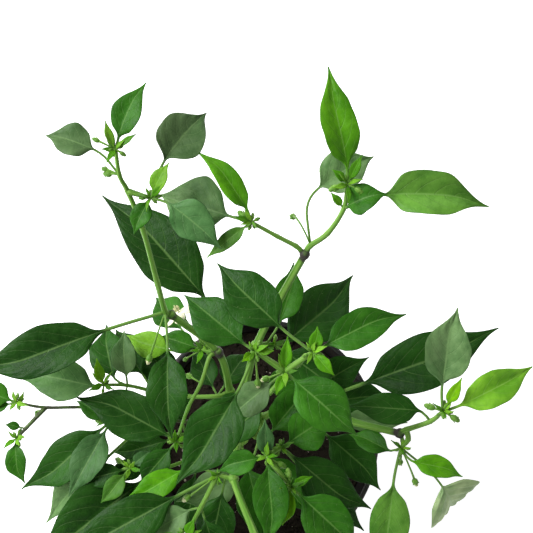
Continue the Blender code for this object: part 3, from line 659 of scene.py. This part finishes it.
leaf_skin = Finish("leaf", Metallic=0.0, Specular_IOR_Level=0.12)
across, along, under = leaf_skin.split(leaf_skin.layer("blade"))
vein_pairs = leaf_skin.layer("vein_pairs", "Fac")
tint = leaf_skin.layer("tint", "Color")
out = abs(across)
vein_phase = vein_pairs * (along - VEIN_REACH * out ** VEIN_BOW)
vein_phase = vein_phase + 0.5 * (across > 0.0) + 0.22 * leaf_skin.grain(55.0)
vein_place = abs(vein_phase.math("FRACT") - 0.5)
veins = (1.0 - vein_place.rise(0.008, 0.050)) * (1.0 - out.rise(0.60, 0.95)) * along.rise(0.0, 0.06)
midrib = (1.0 - out.rise(0.012, 0.060)) * along.rise(-0.02, 0.03)
mesh_veins = 1.0 - leaf_skin.node(
    "TexVoronoi", {"feature": "DISTANCE_TO_EDGE"}, {"Vector": leaf_skin.place(), "Scale": 420.0}
).rise(0.0, 0.16)
patch = leaf_skin.grain(45.0, 3.0)
mottled = leaf_skin.grain(240.0, 3.0)
speck = leaf_skin.grain(800.0, 2.0)
blade_part = along.rise(-0.03, 0.06)
deep = leaf_skin.mix(1.0, tint, DEEPER, "MULTIPLY")
light = leaf_skin.mix(1.0, tint, LIGHTER, "MULTIPLY")
blade_green = leaf_skin.mix((0.7 * patch + 0.3 * mottled).rise(0.34, 0.66), deep, light)
pale_green = leaf_skin.mix(1.0, tint, PALER, "MULTIPLY")
pale_green = leaf_skin.mix(0.45, pale_green, VEIN_GREEN)
drawn_veins = 0.42 * veins + 0.90 * midrib + 0.05 * mesh_veins
blade_green = leaf_skin.mix(drawn_veins, blade_green, pale_green)
underside = leaf_skin.mix(0.62, tint, UNDER_GREEN)
underside = leaf_skin.mix(0.35 * veins + 0.7 * midrib, underside, UNDER_VEIN)
blade_green = leaf_skin.mix(under.rise(0.4, 0.6), blade_green, underside)
relief = 0.10 * speck + 0.12 * (1.0 - mesh_veins) + 0.45 * patch
relief = relief + (0.30 - 0.6 * under) * (1.0 - veins) * blade_part
leaf_skin.feed(
    Base_Color=leaf_skin.mix(blade_part, STALK_GREEN, blade_green),
    Roughness=0.32 + 0.20 * mottled + 0.15 * under + 0.05 * speck,
    Normal=leaf_skin.bump(relief, 0.00045),
)


def ease(share):
    """A smooth step from 0 to 1."""
    share = min(1.0, max(0.0, share))
    return share * share * (3.0 - 2.0 * share)


def direction(heading, rise):
    heading, rise = math.radians(heading), math.radians(rise)
    return Vector((
        math.cos(rise) * math.cos(heading),
        math.cos(rise) * math.sin(heading),
        math.sin(rise),
    ))


def leaf_axes(spec, distance):
    """Forward, left and up of a leaf, this far (mm) along its stalk and midrib."""
    turned = ease((distance - 0.4 * spec.petiole) / (0.6 * spec.petiole + 0.12 * spec.blade))
    along_blade = max(0.0, distance - spec.petiole) / spec.blade
    heading = spec.heading + spec.turn * turned
    forward = direction(heading, spec.rise - spec.droop * along_blade)
    left = direction(heading + 90.0, 0.0)
    up = forward.cross(left)
    roll = math.radians(spec.roll) * turned
    rolled_left = left * math.cos(roll) + up * math.sin(roll)
    return forward, rolled_left, forward.cross(rolled_left)


def leaf_line(start, spec, distances):
    """The centre, left and up of a leaf at each of these distances (mm) from its root."""
    point = Vector(start)
    reached = 0.0
    frames = []
    for distance in distances:
        while reached < distance - 1e-6:
            step = min(LINE_STEP, distance - reached)
            point = point + leaf_axes(spec, reached + step / 2)[0] * step
            reached += step
        _, left, up = leaf_axes(spec, distance)
        frames.append((point.copy(), left, up))
    return frames


def blade_shape(share):
    """Half width of a chilli leaf against its widest: egg-shaped, with a drawn-out tip."""
    back = LEAF_FRONT * (1.0 - LEAF_BELLY) / LEAF_BELLY
    share = min(1.0, max(0.0, share))
    oval = (share / LEAF_BELLY) ** LEAF_FRONT * ((1.0 - share) / (1.0 - LEAF_BELLY)) ** back
    tail = ease((share - 1.0 + LEAF_TAIL) / LEAF_TAIL)
    return oval * ease(share / LEAF_WEDGE) * (1.0 - LEAF_TAIL_CUT * tail)


def add_leaf(bm, start, spec, seed):
    """Adds a leaf as one closed skin: a round stalk that flattens into a thin, folded and
    quilted blade."""
    draw = random.Random(seed)
    stalk_rows = max(2, round(spec.petiole / 3.0))
    blade_rows = round(10 + 0.68 * spec.blade)
    distances = [0.0, *(spec.petiole * row / stalk_rows for row in range(stalk_rows))]
    for row in range(blade_rows + 1):
        share = row / blade_rows
        share = 0.65 * share + 0.35 * (0.5 - 0.5 * math.cos(math.pi * share))
        distances.append(spec.petiole + spec.blade * share)
    frames = leaf_line(start, spec, distances)
    rows = len(distances) - 1
    pairs = round(3.6 + spec.blade / 22.0)
    wave_count = draw.uniform(1.6, 2.6)
    waves = [draw.uniform(0.0, math.tau) for _ in range(4)]
    waver_count = draw.uniform(9.0, 16.0)
    wave_height = draw.uniform(*WAVE_HEIGHTS) * spec.width
    folds = [math.tan(math.radians(LEAF_FOLD + draw.uniform(*FOLD_SPREAD))) for _ in range(2)]
    sway = draw.uniform(-SWAY, SWAY) * spec.blade
    draw.random()  # one draw is passed over
    # Each half of the blade gets its own tone: partly a random difference, partly a painted sheen
    # that makes one half lighter than the other.
    tones = []
    for _ in range(2):
        half_tone_and_sheen = 1.0 + draw.uniform(*HALF_TONE_AND_SHEEN_SPREAD)
        tones.append((*(value * half_tone_and_sheen for value in TONES[spec.tone]), 1.0))
    quilting = min(QUILT_SHARE * spec.width, QUILT_MOST)
    stalk_radius = 0.45 + 0.007 * spec.blade
    blade_layer = bm.verts.layers.float_vector["blade"]
    pairs_layer = bm.verts.layers.float["vein_pairs"]
    tint_layer = bm.verts.layers.float_color["tint"]
    made = add_grid(bm, rows, 2 * round(6 + 0.36 * spec.width))
    for vertex, row, turn in made:
        centre, left, up = frames[row]
        share = (distances[row] - spec.petiole) / spec.blade
        across, raised = -math.cos(turn), math.sin(turn)
        out = abs(across)
        half = int(across > 0)
        blade = ease(share / 0.12)
        phases = waves[:2] if half else waves[2:]
        waver = 0.75 * math.sin(phases[0] + share * waver_count)
        waver += 0.25 * math.sin(waves[3] + 2.3 * share * waver_count)
        half_width = stalk_radius * (1.0 - 0.6 * blade)
        half_width += spec.width / 2 * blade_shape(share) * (1.0 + EDGE_WAVER * blade * waver)
        half_depth = stalk_radius * (1.0 - blade) + BLADE_DEPTH * blade
        if raised < 0:
            rib = 0.55 * stalk_radius * blade * (1.0 - 0.8 * share)
            half_depth += rib * max(0.0, 1.0 - out * half_width / 1.4)
        fold = folds[half] * blade * (1.45 * out - 0.45 * out * out)
        lift = half_width * fold
        phase = pairs * (share - VEIN_REACH * out ** VEIN_BOW) + 0.5 * half
        bulge = (1.0 - math.sin(math.pi * phase) ** 4) * 4.0 * out * (1.0 - out)
        lift += quilting * blade * bulge * (1.0 - ease((share - 0.8) / 0.2))
        wave = math.sin(phases[1] + wave_count * math.tau * share)
        lift += wave_height * blade * out * out * wave * (1 - share)
        if row in (0, rows):
            half_width = half_depth = lift = 0.0
        on_underside = 0.5 - 0.5 * max(-1.0, min(1.0, 6.0 * raised))
        vertex[blade_layer] = Vector((across, share, on_underside))
        vertex[pairs_layer] = pairs
        vertex[tint_layer] = tones[half]
        sideways = across * half_width + sway * ease((share - 0.45) / 0.55) ** 2
        vertex.co = (centre + left * sideways + up * (raised * half_depth + lift)) * MM
    bmesh.ops.remove_doubles(bm, verts=[vertex for vertex, _, _ in made], dist=0.0005 * MM)


def bud_line(start, spec):
    """The route of a bud's stalk, and the direction in which it ends."""
    point = Vector(start)
    route = [point]
    for step in range(BUD_STEPS):
        forward = direction(spec.heading, spec.rise - spec.curl * (step + 0.5) / BUD_STEPS)
        point = point + forward * (spec.length / BUD_STEPS)
        route.append(point)
    return route, forward


def stalk_radii(start, more, power):
    """Radii along a bud's stalk, which grows by this much more towards its calyx."""
    return [start + more * (index / BUD_STEPS) ** power for index in range(BUD_STEPS + 1)]


def add_bud(bm, start, spec, open_tip=True):
    """Adds a flower bud: a thin stalk that swells into a cup-shaped calyx with five teeth,
    and the bud that stands in it, cream where it has begun to show."""
    size = spec.size
    route, forward = bud_line(start, spec)
    end = route[-1]
    add_tube(bm, route, stalk_radii(0.40 + 0.045 * size, 0.2, 3), 8)
    add_ovoid(bm, end + forward * (size * 0.8), forward, size * 0.80, size * 2.0, 10, 8, 1.5)
    tip = end + forward * (size * 1.6)
    cream = 0.9 if open_tip else 0.0
    add_ovoid(bm, tip, forward, size * 0.66, size * 2.2, 10, 8, cream=cream)
    side = forward.orthogonal().normalized()
    for number in range(TEETH):
        out = Quaternion(forward, math.tau * number / TEETH) @ side
        foot = end + forward * (size * 1.3) + out * (size * 0.66)
        add_ovoid(bm, foot, forward * 1.6 + out, size * 0.16, size * 1.1, 5, 4)


def add_growing_tip(blades, stalks, start, seed):
    """Adds what stands at a stem's growing tip: a star of young leaves, each turned from the
    last by the golden angle, and a tight knot of buds between them."""
    draw = random.Random(seed)
    first = draw.uniform(0.0, 360.0)
    for number in range(TIP_LEAVES):
        length = TIP_SIZE * draw.uniform(0.5, 1.1)
        spec = Leaf(
            "", first + GOLDEN_ANGLE * number, draw.uniform(30.0, 65.0), 0.12 * length, length,
            length * draw.uniform(0.22, 0.34), draw.choice(("soft", "fresh", "bright", "bright")),
            droop=draw.uniform(10.0, 60.0), turn=draw.uniform(-25.0, 25.0),
            roll=draw.uniform(-40.0, 40.0),
        )
        add_leaf(blades, start, spec, seed * 10 + number)
    for number in range(TIP_BUDS):
        spec = Bud(
            "", first + 60.0 + GOLDEN_ANGLE * number, draw.uniform(10.0, 60.0),
            draw.uniform(1.0, 3.0), curl=draw.uniform(20.0, 70.0), size=draw.uniform(1.0, 1.5),
        )
        add_bud(stalks, start, spec, False)


leaf_seeds = itertools.count(1)  # every leaf has a seed of its own


def grow_shoot(name, fork, radius, tint, stems, nodes, *grown):
    """Builds a shoot from its knot outwards, with the leaves and buds that have grown on it.
    Its nodes have one letter each, and each of its stems is a word of them, with this radius
    at its start and at its tip. Gives back its nodes."""
    blades, stalks = new_piece(), new_piece()
    stems = stems.split()
    for number, letters in enumerate(stems):
        points = [nodes[letter] for letter in letters]
        if number == 0:
            points = [Vector(STEM_NODES[fork]).lerp(Vector(nodes["a"]), SHOOT_START), *points]
        add_stalk(stalks, points, *radius, SHOOT_STEPS, SHOOT_SIDES, WEATHERED.get(name, 0.0))
    for spec in grown:
        if isinstance(spec, Leaf):
            seed = next(leaf_seeds)
            add_leaf(blades, nodes[spec.node], spec, seed)
        else:
            add_bud(stalks, nodes[spec.node], spec, spec.size > 2.0 and spec.length > 8)
    for letters in stems:
        add_growing_tip(blades, stalks, nodes[letters[-1]], 1000 + seed + len(letters))
    finished(name + "_leaves", blades, leaf_skin, slot=tint, nodes=[name])
    finished(name + "_stalks", stalks, stalk_skin, slot="stem")
    return nodes


# The shoots, from the back of the plant to its front.
grow_shoot(
    "shoot_north_west", "north_west", (1.8, 1.0), "leaf_young", "abcdef dg",
    dict(
        a=(-56, 70, 254), b=(-59, 84, 268), c=(-64, 109, 295), d=(-70, 125, 310),
        e=(-73, 131, 318), f=(-74, 142, 326), g=(-58, 122, 308),
    ),
    Leaf("a", 198, 8, 34, 84, 27, "old", droop=22, turn=3),
    Leaf("a", 277, 9, 23, 51, 23, "dark", droop=35, turn=-5),
    Leaf("f", 71, 30, 5, 33, 15, "full", turn=-6),
    Leaf("f", 112, 45, 2, 14, 4, "bright", droop=10),
    Leaf("f", 28, 30, 3, 11, 3, "fresh", droop=20),
    Leaf("e", 129, 18, 18, 27, 17, "slate", turn=32),
    Leaf("g", 58, 40, 3, 19, 9, "bright"),
    Leaf("g", 74, 12, 20, 38, 26, "slate", droop=35, turn=-20),
    Leaf("g", 244, 10, 2, 20, 11, "full", droop=40),
    Leaf("g", 346, 2, 9, 38, 20, "blue", droop=22, turn=-24),
    Bud("a", 250, -5, 27, curl=20),
    Bud("f", 155, 20, 9, curl=20, size=1.6),
    Bud("e", 165, 20, 5),
    Bud("e", 152, 14, 8, curl=50, size=1.8),
)
west_fork_nodes = grow_shoot(
    "shoot_west_fork", "west", (1.5, 1.2), "leaf_dark", "ab",
    dict(a=(-33, 51, 221), b=(-37, 52, 218)),
    Leaf("a", 85, 14, 31, 96, 36, "old", droop=22, turn=47),
    Leaf("b", 138, -24, 22, 36, 22, "full", droop=10, turn=-10),
    Leaf("b", 185, -2, 20, 32, 17, "bright", droop=20, turn=-20),
    Leaf("b", 161, 2, 4, 26, 14, "full", droop=15),
    Bud("b", 205, 5, 13, size=1.7),
)
grow_shoot(
    "shoot_north", "north", (1.5, 1.0), "leaf_young", "abc",
    dict(a=(19, 101, 288), b=(9, 105, 293), c=(-5, 111, 300)),
    Leaf("c", 109, 33, 6, 43, 12, "fresh", droop=35, turn=17),
    Leaf("c", 161, -10, 12, 47, 31, "grey", droop=15, turn=-1),
    Leaf("c", 217, 2, 3, 29, 8, "soft", droop=40),
    Leaf("c", 172, 40, 2, 9, 3, "fresh", droop=20),
    Bud("c", 140, 45, 4),
)
grow_shoot(
    "shoot_north_east", "north", (1.8, 1.1), "leaf_young", "abcd",
    dict(a=(27, 101, 289), b=(36, 106, 296), c=(44, 117, 305), d=(45, 127, 315)),
    Leaf("d", 91, 40, 7, 56, 18, "fresh", droop=45, turn=14),
    Leaf("c", 22, 12, 20, 59, 25, "soft", droop=28, turn=-24),
    Leaf("c", 14, 60, 3, 24, 16, "full", droop=65),
    Leaf("a", 97, 10, 33, 37, 23, "grey", droop=20, turn=-63),
    Leaf("d", 62, 45, 3, 15, 5, "fresh"),
    Leaf("d", 140, 40, 2, 10, 4, "fresh"),
    Leaf("c", 137, 40, 2, 10, 4, "fresh"),
    Bud("d", 200, 50, 5), Bud("d", 330, 50, 5), Bud("a", 116, 50, 26, curl=130),
)
grow_shoot(
    "shoot_crown", "n1", (2.0, 1.2), "leaf_green", "abc cd ce",
    dict(
        a=(-3, 26, 217), b=(5, 24, 245), c=(13, 33, 285), d=(-3, 43, 292), e=(27, 42, 296),
    ),
    Leaf("d", 148, 5, 6, 45, 24, "dark", droop=28, turn=-8),
    Leaf("d", 249, 8, 23, 56, 27, "dark", droop=22, turn=-9),
    Leaf("d", 355, 30, 2, 9, 4, "lime", droop=20),
    Leaf("d", 222, 30, 2, 8, 4, "lime", droop=20),
    Leaf("c", 87, 40, 2, 18, 6, "fresh", droop=40),
    Leaf("c", 246, 20, 2, 12, 5, "fresh"),
    Leaf("c", 315, 12, 5, 47, 25, "full", droop=40, turn=4),
    Leaf("c", 218, -10, 9, 32, 17, "slate", droop=25),
    Leaf("b", 246, -10, 8, 40, 20, "dark", droop=15, turn=-30),
    Leaf("e", 75, 45, 2, 13, 7, "fresh", droop=40),
    Leaf("e", 309, 25, 2, 15, 7, "fresh", droop=40),
    Leaf("e", 26, 15, 6, 48, 19, "full"),
    Leaf("e", 145, 12, 20, 50, 26, "dark", droop=28, turn=-8),
    Leaf("a", 213, -6, 4, 34, 18, "dark", droop=10),
    Leaf("a", 20, -16, 5, 32, 18, "full", droop=8),
    Bud("d", 275, 10, 16), Bud("c", 200, 15, 10), Bud("c", 30, 45, 5),
)
grow_shoot(
    "shoot_east", "east", (1.8, 1.1), "leaf_young", "abc ahf",
    dict(
        a=(82, 3, 252), b=(94, 7.5, 261), c=(99, 12.5, 270), h=(83.5, -2.5, 249), f=(80, -7, 244),
    ),
    Leaf("c", 18, 15, 8, 50, 18, "bright", droop=35, turn=8),
    Leaf("c", 97, 25, 14, 45, 25, "grey", droop=35, turn=-14),
    Leaf("c", 66, 45, 6, 18, 6, "lime", droop=25),
    Leaf("b", 130, 15, 7, 43, 17, "dark", droop=35, turn=46),
    Leaf("f", 255, -5, 19, 54, 22, "soft", droop=25, turn=8),
    Leaf("f", 300, 10, 9, 33, 12, "fresh", droop=40, turn=49),
    Leaf("f", 324, -26, 38, 31, 38, "pale", droop=62, turn=-16),
    Leaf("f", 205, -22, 6, 29, 13, "full", droop=20, turn=-54),
    Bud("f", 275, -10, 10), Bud("f", 296, -10, 22, curl=30),
    Bud("c", 330, 40, 5), Bud("c", 160, 45, 5),
)
grow_shoot(
    "shoot_east_low", "e1", (1.6, 1.3), "leaf_dark", "ab",
    dict(a=(24, 17, 206), b=(28, 16, 203)),
    Leaf("a", 20, 21, 42, 92, 32, "old", droop=28, turn=-1),
    Leaf("b", 306, 5, 20, 49, 25, "dark", droop=25, turn=14),
    Leaf("b", 345, 5, 22, 44, 14, "grey", droop=20, turn=8),
    Leaf("a", 62, 12, 12, 44, 21, "dark", droop=20, turn=-32),
    Leaf("b", 20, -6, 14, 46, 20, "dark", droop=10, turn=-12),
)
grow_shoot(
    "shoot_north_low", "n2", (1.6, 1.3), "leaf_dark", "ab",
    dict(a=(3, 54, 232), b=(8, 54, 229)),
    Leaf("b", 13, -10, 5, 69, 33, "dark", droop=12, turn=28),
    Leaf("a", 55, 8, 14, 40, 18, "full", droop=15, turn=16),
    Leaf("b", 325, -4, 6, 44, 22, "dark", droop=10),
)
grow_shoot(
    "shoot_middle", "e0", (1.8, 1.1), "leaf_green", "aeb bc bd",
    dict(a=(0, 4, 199), b=(3, -12, 236), c=(17, -29, 236), d=(12, -7, 229), e=(1, -4, 212)),
    Leaf("b", 276, 12, 4, 47, 20, "full"),
    Leaf("b", 192, 8, 4, 27, 14, "full", droop=40),
    Leaf("b", 94, 40, 2, 22, 10, "blue"),
    Leaf("b", 110, 35, 2, 14, 5, "blue"),
    Leaf("d", 33, 6, 4, 32, 24, "full", droop=14),
    Leaf("d", 321, -10, 7, 62, 25, "dark", droop=15),
    Leaf("d", 314, -18, 14, 64, 24, "dark", droop=10),
    Leaf("c", 29, 35, 2, 13, 5, "fresh", droop=40),
    Leaf("c", 262, 10, 2, 21, 8, "lime", droop=40),
    Leaf("c", 318, 0, 6, 49, 26, "full", droop=25),
    Leaf("a", 254, 2, 32, 43, 22, "grey", droop=8, turn=-46),
    Leaf("e", 50, 14, 8, 40, 22, "full", droop=20),
    Leaf("e", 300, -8, 8, 46, 22, "full", droop=10),
    Bud("c", 100, 40, 5), Bud("b", 330, 30, 8),
)
grow_shoot(
    "shoot_west", "w1", (1.6, 0.9), "leaf_green", "abcde",
    dict(a=(-28, 24, 206), b=(-48, 24, 206), c=(-68, 27, 211), d=(-83, 30, 218), e=(-96, 30, 225)),
    Leaf("d", 95, 25, 5, 30, 15, "grey", droop=35),
    Leaf("d", 160, -14, 10, 40, 24, "dark", droop=12, turn=-52),
    Leaf("e", 190, 8, 4, 50, 25, "sea", turn=-22),
    Leaf("e", 106, 40, 2, 16, 6, "lime"),
    Leaf("c", 125, -8, 12, 40, 24, "dark", droop=20),
    Leaf("b", 132, -5, 10, 39, 22, "dark", droop=20),
    Leaf("a", 60, -32, 8, 36, 19, "dark", droop=0),
    Leaf("a", 118, -14, 6, 32, 17, "dark", droop=10),
    Bud("d", 262, 40, 4, size=1.7),
)
grow_shoot(
    "shoot_far_west", "low", (1.5, 0.8), "leaf_green", "abcde dfg",
    dict(
        a=(-12, 2, 141), b=(-60, 10, 176), c=(-106, 17, 195), d=(-137, 17, 204), e=(-154, 20, 208),
        f=(-149, 4, 203), g=(-155, -2, 200),
    ),
    Leaf("e", 160, 15, 3, 30, 16, "full", droop=35),
    Leaf("e", 192, 5, 4, 18, 8, "full"),
    Leaf("g", 262, 5, 2, 28, 13, "full", droop=40, turn=14),
    Leaf("f", 165, 25, 3, 10, 5, "full"),
    Bud("d", 205, -5, 8),
)
grow_shoot(
    "shoot_south_west", "mid", (1.6, 1.0), "leaf_dark", "abcd",
    dict(a=(-18, 2, 164), b=(-50, 0, 182), c=(-80, 3, 195), d=(-95, 9, 203)),
    Leaf("d", 243, 12, 6, 47, 21, "blue", droop=25),
    Leaf("d", 221, -2, 6, 68, 25, "dark", droop=20),
    Leaf("c", 221, -15, 23, 71, 24, "grey", droop=15),
    Leaf("d", 150, 10, 3, 24, 11, "full"),
    Leaf("b", 105, 10, 8, 32, 18, "dark"),
    Leaf("b", 196, -4, 12, 40, 20, "dark", droop=10),
    Bud("d", 180, 25, 6),
)
grow_shoot(
    "shoot_hanging", "west", (1.3, 1.0), "leaf_dark", "abcd",
    dict(a=(-32, 46, 228), b=(-37, 31, 224), c=(-45, 16, 220), d=(-52, -4, 216)),
    Leaf("d", 144, 11, 5, 63, 28, "dark", droop=14, turn=8),
    Leaf("d", 228, -5, 4, 34, 16, "dark"),
    Bud("b", 150, 10, 8),
)
grow_shoot(
    "shoot_south_west_low", "mid", (1.5, 1.0), "leaf_dark", "abcd",
    dict(a=(-14, -6, 165), b=(-42, -14, 182), c=(-68, -22, 196), d=(-82, -20, 204)),
    Leaf("c", 220, 5, 8, 84, 38, "dark", droop=20, turn=-2),
    Leaf("d", 233, 15, 4, 24, 12, "soft", droop=40),
    Leaf("d", 40, 20, 3, 14, 8, "blue", droop=40),
    Leaf("d", 195, 10, 4, 30, 14, "dark"),
    Leaf("c", 178, 0, 5, 27, 13, "dark", droop=15),
    Leaf("b", 262, 0, 10, 44, 20, "dark", droop=25),
    Leaf("a", 286, 8, 14, 56, 26, "full", droop=12),
    Bud("d", 150, 20, 7),
)
grow_shoot(
    "shoot_south_side", "s2", (1.6, 1.1), "leaf_dark", "ab bcd",
    dict(a=(-22, -25, 213), b=(-27, -24, 214), c=(-36, -42, 220), d=(-44, -57, 228)),
    Leaf("b", 206, 8, 25, 84, 28, "dark", droop=25, turn=2),
    Leaf("a", 160, 6, 27, 40, 16, "fresh", droop=20, turn=50),
    Leaf("c", 290, -4, 6, 38, 20, "dark", droop=20),
    Leaf("d", 285, 30, 3, 22, 11, "fresh", droop=35),
    Leaf("d", 195, 25, 3, 20, 10, "fresh", droop=35),
    Leaf("d", 60, 45, 2, 12, 6, "fresh", droop=35),
    Leaf("c", 190, -10, 6, 34, 17, "grey", droop=20, turn=20),
    Leaf("a", 258, -16, 9, 46, 24, "dark", droop=10),
    Bud("b", 216, 15, 20, curl=30),
)
grow_shoot(
    "shoot_south_left", "south", (1.8, 1.1), "leaf_green", "abcd",
    dict(a=(0, -78, 262), b=(-11, -86, 272), c=(-20, -97, 284), d=(-24, -104, 293)),
    Leaf("d", 262, 30, 6, 44, 19, "full", droop=40, turn=-10),
    Leaf("d", 205, 20, 8, 40, 17, "full", droop=35),
    Leaf("c", 160, 10, 12, 46, 22, "full", droop=35, turn=15),
    Leaf("a", 220, -5, 26, 62, 28, "dark", droop=25),
    Leaf("d", 320, 45, 2, 15, 6, "fresh"),
    Leaf("d", 120, 45, 2, 12, 4, "fresh"),
    Bud("d", 100, 40, 6), Bud("b", 250, 10, 14),
)
grow_shoot(
    "shoot_south_right", "south", (1.8, 1.1), "leaf_green", "abcd",
    dict(a=(8, -78, 262), b=(19, -84, 270), c=(33, -88, 280), d=(42, -95, 288)),
    Leaf("d", 285, 28, 6, 50, 21, "full", droop=40),
    Leaf("d", 345, 18, 8, 44, 19, "full", droop=35, turn=10),
    Leaf("c", 30, 10, 14, 42, 20, "full", droop=35),
    Leaf("a", 290, -5, 28, 60, 28, "dark", droop=25, turn=8),
    Leaf("d", 60, 45, 2, 16, 6, "fresh"),
    Leaf("d", 230, 45, 2, 11, 4, "fresh"),
    Bud("d", 140, 40, 6), Bud("c", 270, 10, 12),
)

# --- Open flower ----------------------------------------------------------------------
# One flower is open on its own nodding stalk: five cream-white petals joined at the middle
# and bent back, round a ring of pollen-dusted anthers.

FLOWER_STALK = Bud("a", 128, 36, 26, curl=8, size=2.2)
PETALS = 5
PETAL_STEPS = 16
PETAL_RINGS = 10
PETAL_REACH = 11.0  # from the middle to a petal's tip, mm
PETAL_NOTCH = 4.2  # and to the notch between two petals
PETAL_EYE = 0.9  # radius of the hole in their middle
PETAL_DEPTH = 0.2  # half of a petal's thickness
PETAL_CURL = 2.6  # how far the tips bend back
PETAL_LOBE = 0.55  # the smaller, the blunter they are
PETAL_RIDGE = 0.35  # how far each petal's middle line stands over its edges
ANTHER_RING = 1.2  # radius
PETAL_CREAM = (0.90, 0.88, 0.56)
PETAL_WHITE = (0.94, 0.92, 0.72)
ANTHER_GREEN = (0.40, 0.42, 0.22)
POLLEN = (0.60, 0.58, 0.30)

petal_skin = Finish("petal", Metallic=0.0)
ripple = petal_skin.grain(500.0, 3.0)
petal_skin.feed(
    Base_Color=petal_skin.mix(ripple, PETAL_CREAM, PETAL_WHITE),
    Roughness=0.55 + 0.1 * ripple,
    Normal=petal_skin.bump(ripple, 0.0003),
)
anther_skin = Finish("anthers", Metallic=0.0)
pollen = anther_skin.grain(3000.0, 2.0)
anther_skin.feed(
    Base_Color=anther_skin.mix(pollen.rise(0.4, 0.6), ANTHER_GREEN, POLLEN),
    Roughness=0.8 + 0.1 * pollen,
    Normal=anther_skin.bump(pollen, 0.0003),
)

flower_stalk, facing = bud_line(west_fork_nodes[FLOWER_STALK.node], FLOWER_STALK)
size = FLOWER_STALK.size
seat = flower_stalk[-1] + facing * size * 2.5
upright = facing.to_track_quat("Z", "Y").to_matrix()

stalk = new_piece()
add_tube(stalk, flower_stalk, stalk_radii(0.6, 0.3, 2), 10)
add_ovoid(stalk, flower_stalk[-1] + facing * size * 1.25, facing, size * 0.9, size * 2.6, 12, 8)
finished("flower_stalk", stalk, stalk_skin, slot="stem")

corolla = bmesh.new()
made = bmesh.ops.create_grid(
    corolla, x_segments=PETALS * PETAL_STEPS, y_segments=PETAL_RINGS, size=0.5
)["verts"]
for vertex in made:
    turn = math.tau * (vertex.co.x + 0.5)
    share = vertex.co.y + 0.5
    lobe = abs(math.cos(PETALS * turn / 2.0)) ** PETAL_LOBE
    reach = PETAL_NOTCH + (PETAL_REACH - PETAL_NOTCH) * lobe
    radius = PETAL_EYE + (reach - PETAL_EYE) * share
    ridge = PETAL_RIDGE * math.cos(PETALS * turn) * share
    back = PETAL_CURL * (radius / PETAL_REACH) ** 2
    flat = Vector((radius * math.cos(turn), radius * math.sin(turn), GAP + 0.4 + ridge - back))
    vertex.co = (seat + upright @ flat) * MM
seal(corolla, 0.01)
bmesh.ops.solidify(corolla, geom=corolla.faces[:], thickness=2 * PETAL_DEPTH * MM)
bmesh.ops.recalc_face_normals(corolla, faces=corolla.faces[:])
finished("corolla", corolla, petal_skin, slot="petal", nodes=["petals"])

centre = new_piece()
base = seat + facing * 1.2
add_ovoid(centre, base + facing * 2.4, facing, 0.6, 5.4, 10, 8)
for number in range(PETALS):
    turn = math.tau * number / PETALS
    out = upright @ Vector((math.cos(turn), math.sin(turn), 0.0))
    middle = base + facing * 2.2 + out * ANTHER_RING
    add_ovoid(centre, middle, facing + out * 0.15, 0.75, 3.2, 10, 8)
finished("anther_ring", centre, anther_skin, slot="anther", nodes=["stamens"])

# --- Floor and soft light -------------------------------------------------------------
# The pot stands on a plain pale floor. Wide soft lamps and a pale surround light it from
# all sides, so that the leaves' gloss shows and the shadows stay faint.

# In metres and watts.
FLOOR_SIZE = 6.0
FLOOR_GREY = (0.93, 0.93, 0.93)
FLOOR_WHITE = (0.96, 0.96, 0.96)
FLOOR_GLOW = 0.75
SURROUND_STRENGTH = 0.22
LAMP_AIM = (0.0, 0.0, 0.2)
LAMPS = {
    "left_lamp": dict(place=(-1.05, 0.35, 1.2), size=0.9, power=34.0),
    "back_lamp": dict(place=(0.6, 2.1, 1.1), size=1.2, power=11.0),
    "right_lamp": dict(place=(2.1, -0.3, 1.0), size=1.2, power=5.0),
    "front_lamp": dict(place=(-0.3, -2.2, 1.0), size=1.2, power=7.0),
}

bpy.context.scene.view_settings.view_transform = "Standard"
surround = bpy.data.worlds.new("surround")
surround.use_nodes = True
backdrop = surround.node_tree.nodes["Background"]
backdrop.inputs["Color"].default_value = (1.0, 1.0, 1.0, 1.0)
backdrop.inputs["Strength"].default_value = SURROUND_STRENGTH
bpy.context.scene.world = surround
for name, lamp in LAMPS.items():
    light = bpy.data.lights.new(name, "AREA")
    light.size = lamp["size"]
    light.energy = lamp["power"]
    hung = bpy.data.objects.new(name, light)
    hung.location = lamp["place"]
    aim = Vector(LAMP_AIM) - hung.location
    hung.rotation_euler = aim.to_track_quat("-Z", "Y").to_euler()
    bpy.context.scene.collection.objects.link(hung)

floor_paint = Finish("pale_floor", Metallic=0.0)
speckle = floor_paint.grain(30.0, 3.0)
floor_paint.feed(
    Base_Color=floor_paint.mix(speckle, FLOOR_GREY, FLOOR_WHITE),
    Roughness=0.8 + 0.1 * speckle,
    Emission_Color=(1.0, 1.0, 1.0),
    Emission_Strength=FLOOR_GLOW,
)
floor_mesh = bmesh.new()
bmesh.ops.create_grid(floor_mesh, x_segments=4, y_segments=4, size=FLOOR_SIZE / 2)
floor = built("floor", floor_mesh, floor_paint)
